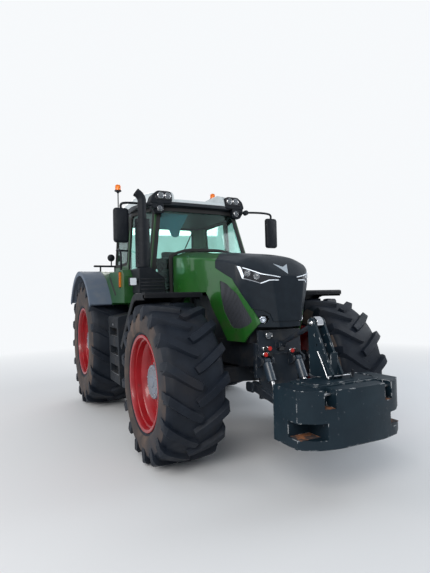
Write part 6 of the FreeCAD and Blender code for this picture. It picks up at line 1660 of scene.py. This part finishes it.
base = cushion("seat_base", (0, 1.07, 1.925), (0.252, 0.235, 0.068), 3, (-0.62, 0.62, -0.2, 0.2))
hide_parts("seat")
cushion("seat_back", (0, 1.372, 2.215), (0.245, 0.245, 0.066), 79, (-0.6, 0.6))
cushion("seat_head_pad", (0, 1.437, 2.495), (0.15, 0.06, 0.042), 79, ())
for side, way in SIDES:
    cushion(f"seat_{side}_bolster", (0.226 * way, 1.06, 1.96), (0.032, 0.2, 0.03), 3, (), crown=0.1)
shaped("seat_shell", "X", [(0.85, 1.853), (0.85, 1.88), (1.33, 1.88), (1.44, 2.42), (1.458, 2.42),
                           (1.392, 1.853)], -0.205, 0.205, inner, "chassis", bevel=0.008,
       slot="interior_plastic")

# %% [markdown]
# Through the glass one sees an arm rest with a stick, two dark screens, a blind that is half drawn down and
# the wiper. These are simple forms, because tinted glass hides all but their outlines.

# %% Controls in the cab
cushion("arm_rest", (-0.37, 1.11, 2.15), (0.07, 0.17, 0.026), 0, (), crown=0.15)
rod("control_stick", [(-0.37, 0.83, 2.15), (-0.372, 0.815, 2.23), (-0.365, 0.805, 2.29)], 0.016,
    gloss_black, "chassis")
shaped("screen", "Y", softened(box_line(-0.5, -0.27, 2.2, 2.37), 0.02), 0.735, 0.757, gloss_black,
       "chassis", bevel=0.004, slot="interior_plastic")
rod("screen_arm", [(-0.385, 0.757, 2.29), (-0.385, 0.83, 2.24), (-0.385, 0.85, 2.15)], 0.01, inner,
    "chassis")
shaped("dash_screen", "Y", softened(box_line(-0.11, 0.11, 2.15, 2.235), 0.02), 0.3, 0.33, gloss_black,
       "chassis", bevel=0.006, slot="interior_plastic")
blind_line = softened([(-0.59, 2.99), (-0.13, 2.99), (-0.29, 2.735), (-0.315, 2.64), (-0.385, 2.61),
                       (-0.44, 2.64), (-0.462, 2.735), (-0.605, 2.735)], 0.03)
blind = shaped("sun_blind", "Y", blind_line, 0.25, 0.252, blind_finish, "chassis", bevel=0, slot="glass")
blind.data.transform(Matrix.Translation((0, 0.25, 3.0)) @ Matrix.Rotation(math.radians(-12.5), 4, "X")
                     @ Matrix.Translation((0, -0.25, -3.0)))
wiper_foot = front_face(0.02, 1.84) - Vector((0, 0.02, 0))
wiper_knee = front_face(-0.3, 2.42) - Vector((0, 0.034, 0))
rod("wiper_arm", [tuple(wiper_foot), tuple(wiper_knee)], 0.008, seal_rubber, "chassis",
    smooth=False)
blade = [tuple(front_face(x, z) - Vector((0, 0.012, 0))) for x, z in ((-0.46, 2.17), (-0.3, 2.42), (-0.15,
                                                                                                    2.68))]
rod("wiper_blade", blade, 0.007, seal_rubber, "chassis")
print("cab fitted out")

# %% [markdown]
# The front fenders turn with the wheels. Each is one sheet that is bent over the tyre and rolled along
# its edges, so it is made as a channel: a cross-section with a curled rim, carried along the sheet's path.

# %% Front fenders
def bent_sheet(name, path, profile, finish, body):
    """Carries a profile of (x, depth) points along a path of (y, z) points."""
    work = bmesh.new()
    rings = []
    for k, (y, z) in enumerate(path):
        before, after = Vector(path[max(0, k - 1)]), Vector(path[min(len(path) - 1, k + 1)])
        along = (after - before).normalized()
        rings.append([work.verts.new((x, y + along.y * depth, z - along.x * depth)) for x,
                      depth in profile])
    bridged(work, rings)
    made = from_bmesh(name, work)
    finished(made, finish, body, angle=40)
    return made


FENDER_LINE = [(-1.377, 1.742), (-1.38, 1.799), (-0.93, 1.799), (-0.76, 1.64), (-0.62, 1.5),
               (-0.312, 1.162)]
fender_path = rounded(FENDER_LINE, (0.03, 0.15, 0.08, 0.12), 8)
RIM = [(1.328, 0.004), (1.3295, 0.012), (1.3295, 0.07), (1.322, 0.078), (1.312, 0.072), (1.312, 0.02),
       (1.302, 0.011)]
for side, way in SIDES:
    profile = [(0.692, 0.0), (1.318, 0.0), *RIM, (0.712, 0.011), (0.704, 0.018), (0.704, 0.04),
               (0.692, 0.04)]
    fender = bent_sheet(f"front_fender_{side}_sheet", fender_path, sided(profile, way),
                        sheet_black, f"steer_{side}")
    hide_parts(f"fender_front_{side}")
print("fender path of", len(fender_path), "points")

# %% [markdown]
# Small fittings tell how large the machine is. A square work lamp sits beside the exhaust, an amber strip
# marks the widest point of the right fender panel, and lamps on short stalks look back over the rear
# fenders.
# The panel's ventilation slot is painted shade: a dark strip that stands hardly proud of the paint.

# %% Work lamps and fender fittings
shaped("work_lamp_box", "Y", softened(box_line(-1.154, -1.054, 1.914, 2.024), 0.014), -0.152, -0.096,
       grain, "chassis", bevel=0.005, slot="black_steel")
shaped("work_lamp_glass", "Y", softened(box_line(-1.146, -1.062, 1.922, 2.016), 0.01), -0.1545, -0.1515,
       white_lens, "chassis", bevel=0.001, slot="glass")
shaped("work_lamp_bracket", "Y", box_line(-1.06, -1.028, 1.955, 1.985), -0.118, -0.088, grain, "chassis",
       bevel=0.003, slot="black_steel")
shaped("fender_marker_carrier", "X", softened(box_line(0.345, 0.385, 1.9, 2.135), 0.01), -1.17, -1.149,
       grain, "chassis", bevel=0.003, slot="black_steel")
shaped("fender_marker", "X", box_line(0.323, 0.345, 1.912, 2.12), -1.174, -1.149, amber, "chassis",
       bevel=0.002, slot="amber")
# painted shade: a flat dark strip stands for the shade inside the ventilation slot
vent_line = softened([(0.975, 2.095), (1.035, 2.07), (0.665, 1.79), (0.61, 1.815)], 0.015)
shaped("fender_vent_painted_shade", "X", vent_line, -1.1525, -1.149, seal_rubber, "chassis", bevel=0.001,
       slot="dark_panel")
for side, way in SIDES:
    shaped(f"fender_bar_{side}", "X", softened(box_line(1.855, 1.925, 2.312, 2.342), 0.01),
           0.8 * way, 1.22 * way, grain, "chassis", bevel=0.003, slot="black_steel")
    for number, x in enumerate((0.86, 1.11)):
        rod(f"fender_bar_{side}_leg_{number + 1}", [(x * way, 1.89, 2.225), (x * way, 1.89, 2.32)], 0.014,
            grain, "chassis", smooth=False)
    rod(f"rear_lamp_{side}_stalk", [(0.92 * way, 1.89, 2.335), (0.92 * way, 1.89, 2.43)], 0.011, grain,
        "chassis", smooth=False)
    spun(f"rear_lamp_{side}_bowl", (0.92 * way, 1.88, 2.478), [(-0.034, 0.0), (-0.03, 0.034), (-0.012,
                                                                                               0.056),
                                                               (0.024, 0.064), (0.034, 0.062),
                                                               (0.034, 0.0)], grain, "chassis",
         steps=40, axis="Y", closed=False)
    round_lens(f"rear_lamp_{side}", Vector((0.92 * way, 1.913, 2.478)), Vector((0, 1, 0)), 0.052,
               "chassis")
    round_lens(f"roof_rear_lamp_{side}", Vector((0.52 * way, 1.899, 3.172)), Vector((0, 1, 0)), 0.036,
               "chassis")

# %% [markdown]
# The rear carries what an implement needs: quick couplers for oil, a guard over the drive shaft and a blank
# plate. The lining under the roof keeps the cab dark, so that the glass reads as glass.

# %% Rear couplers, drive guard, plate and head lining
shaped("coupler_bank", "X", softened([(2.08, 1.392), (2.205, 1.392), (2.205, 1.48), (2.17, 1.52),
                                      (2.08, 1.52)], 0.012), -0.235, 0.235, cast, "chassis", bevel=0.004,
       slot="chassis_cast")
for number, x in enumerate((-0.18, -0.108, -0.036, 0.036, 0.108, 0.18)):
    spun(f"coupler_{number + 1}_ring", (x, 2.205, 1.438), [(-0.004, 0.0), (-0.004, 0.026), (0.016, 0.026),
                                                           (0.018, 0.022), (0.018, 0.0)], steel,
         "chassis", steps=32, axis="Y", closed=False)
    spun(f"coupler_{number + 1}_cap", (x, 2.2235, 1.438), [(0.0, 0.0), (0.0, 0.0205), (0.022, 0.0185),
                                                           (0.026, 0.014), (0.026, 0.0)],
         red_plastic if number % 2 else gloss_black, "chassis", steps=32, axis="Y",
         closed=False)
guard_line = arc_line((0.0, 0.79), 0.115, 0, 180, 24) + arc_line((0.0, 0.79), 0.109, 180, 0, 24)
shaped("drive_guard", "Y", guard_line, 2.158, 2.29, grain, "chassis", bevel=0.001, slot="black_steel")
shaped("rear_plate", "Y", softened(box_line(-0.26, 0.26, 1.5, 1.615), 0.012), 1.799, 1.806, pale_trim,
       "chassis", bevel=0.002, slot="steel_parts")
rod("rear_wiper", [(0.0, 1.812, 1.72), (0.06, 1.822, 2.06), (0.16, 1.822, 2.36)], 0.007, seal_rubber,
    "chassis")
liner_line = softened([(-0.56, 0.34), (0.56, 0.34), (0.74, 0.7), (0.74, 1.72), (-0.74, 1.72),
                       (-0.74, 0.7)], 0.08)
shaped("head_lining", "Z", liner_line, 3.04, 3.0775, inner, "chassis", bevel=0.008,
       slot="interior_plastic")
spun("top_link_pin", (0.0, -2.49, 1.49), [(-0.052, 0.0), (-0.052, 0.017), (-0.044, 0.018),
                                          (-0.042, 0.012), (0.042, 0.012), (0.044, 0.018), (0.052, 0.017),
                                          (0.052, 0.0)], chrome, "front_top_bar", steps=28,
     closed=False)
print("fittings added")
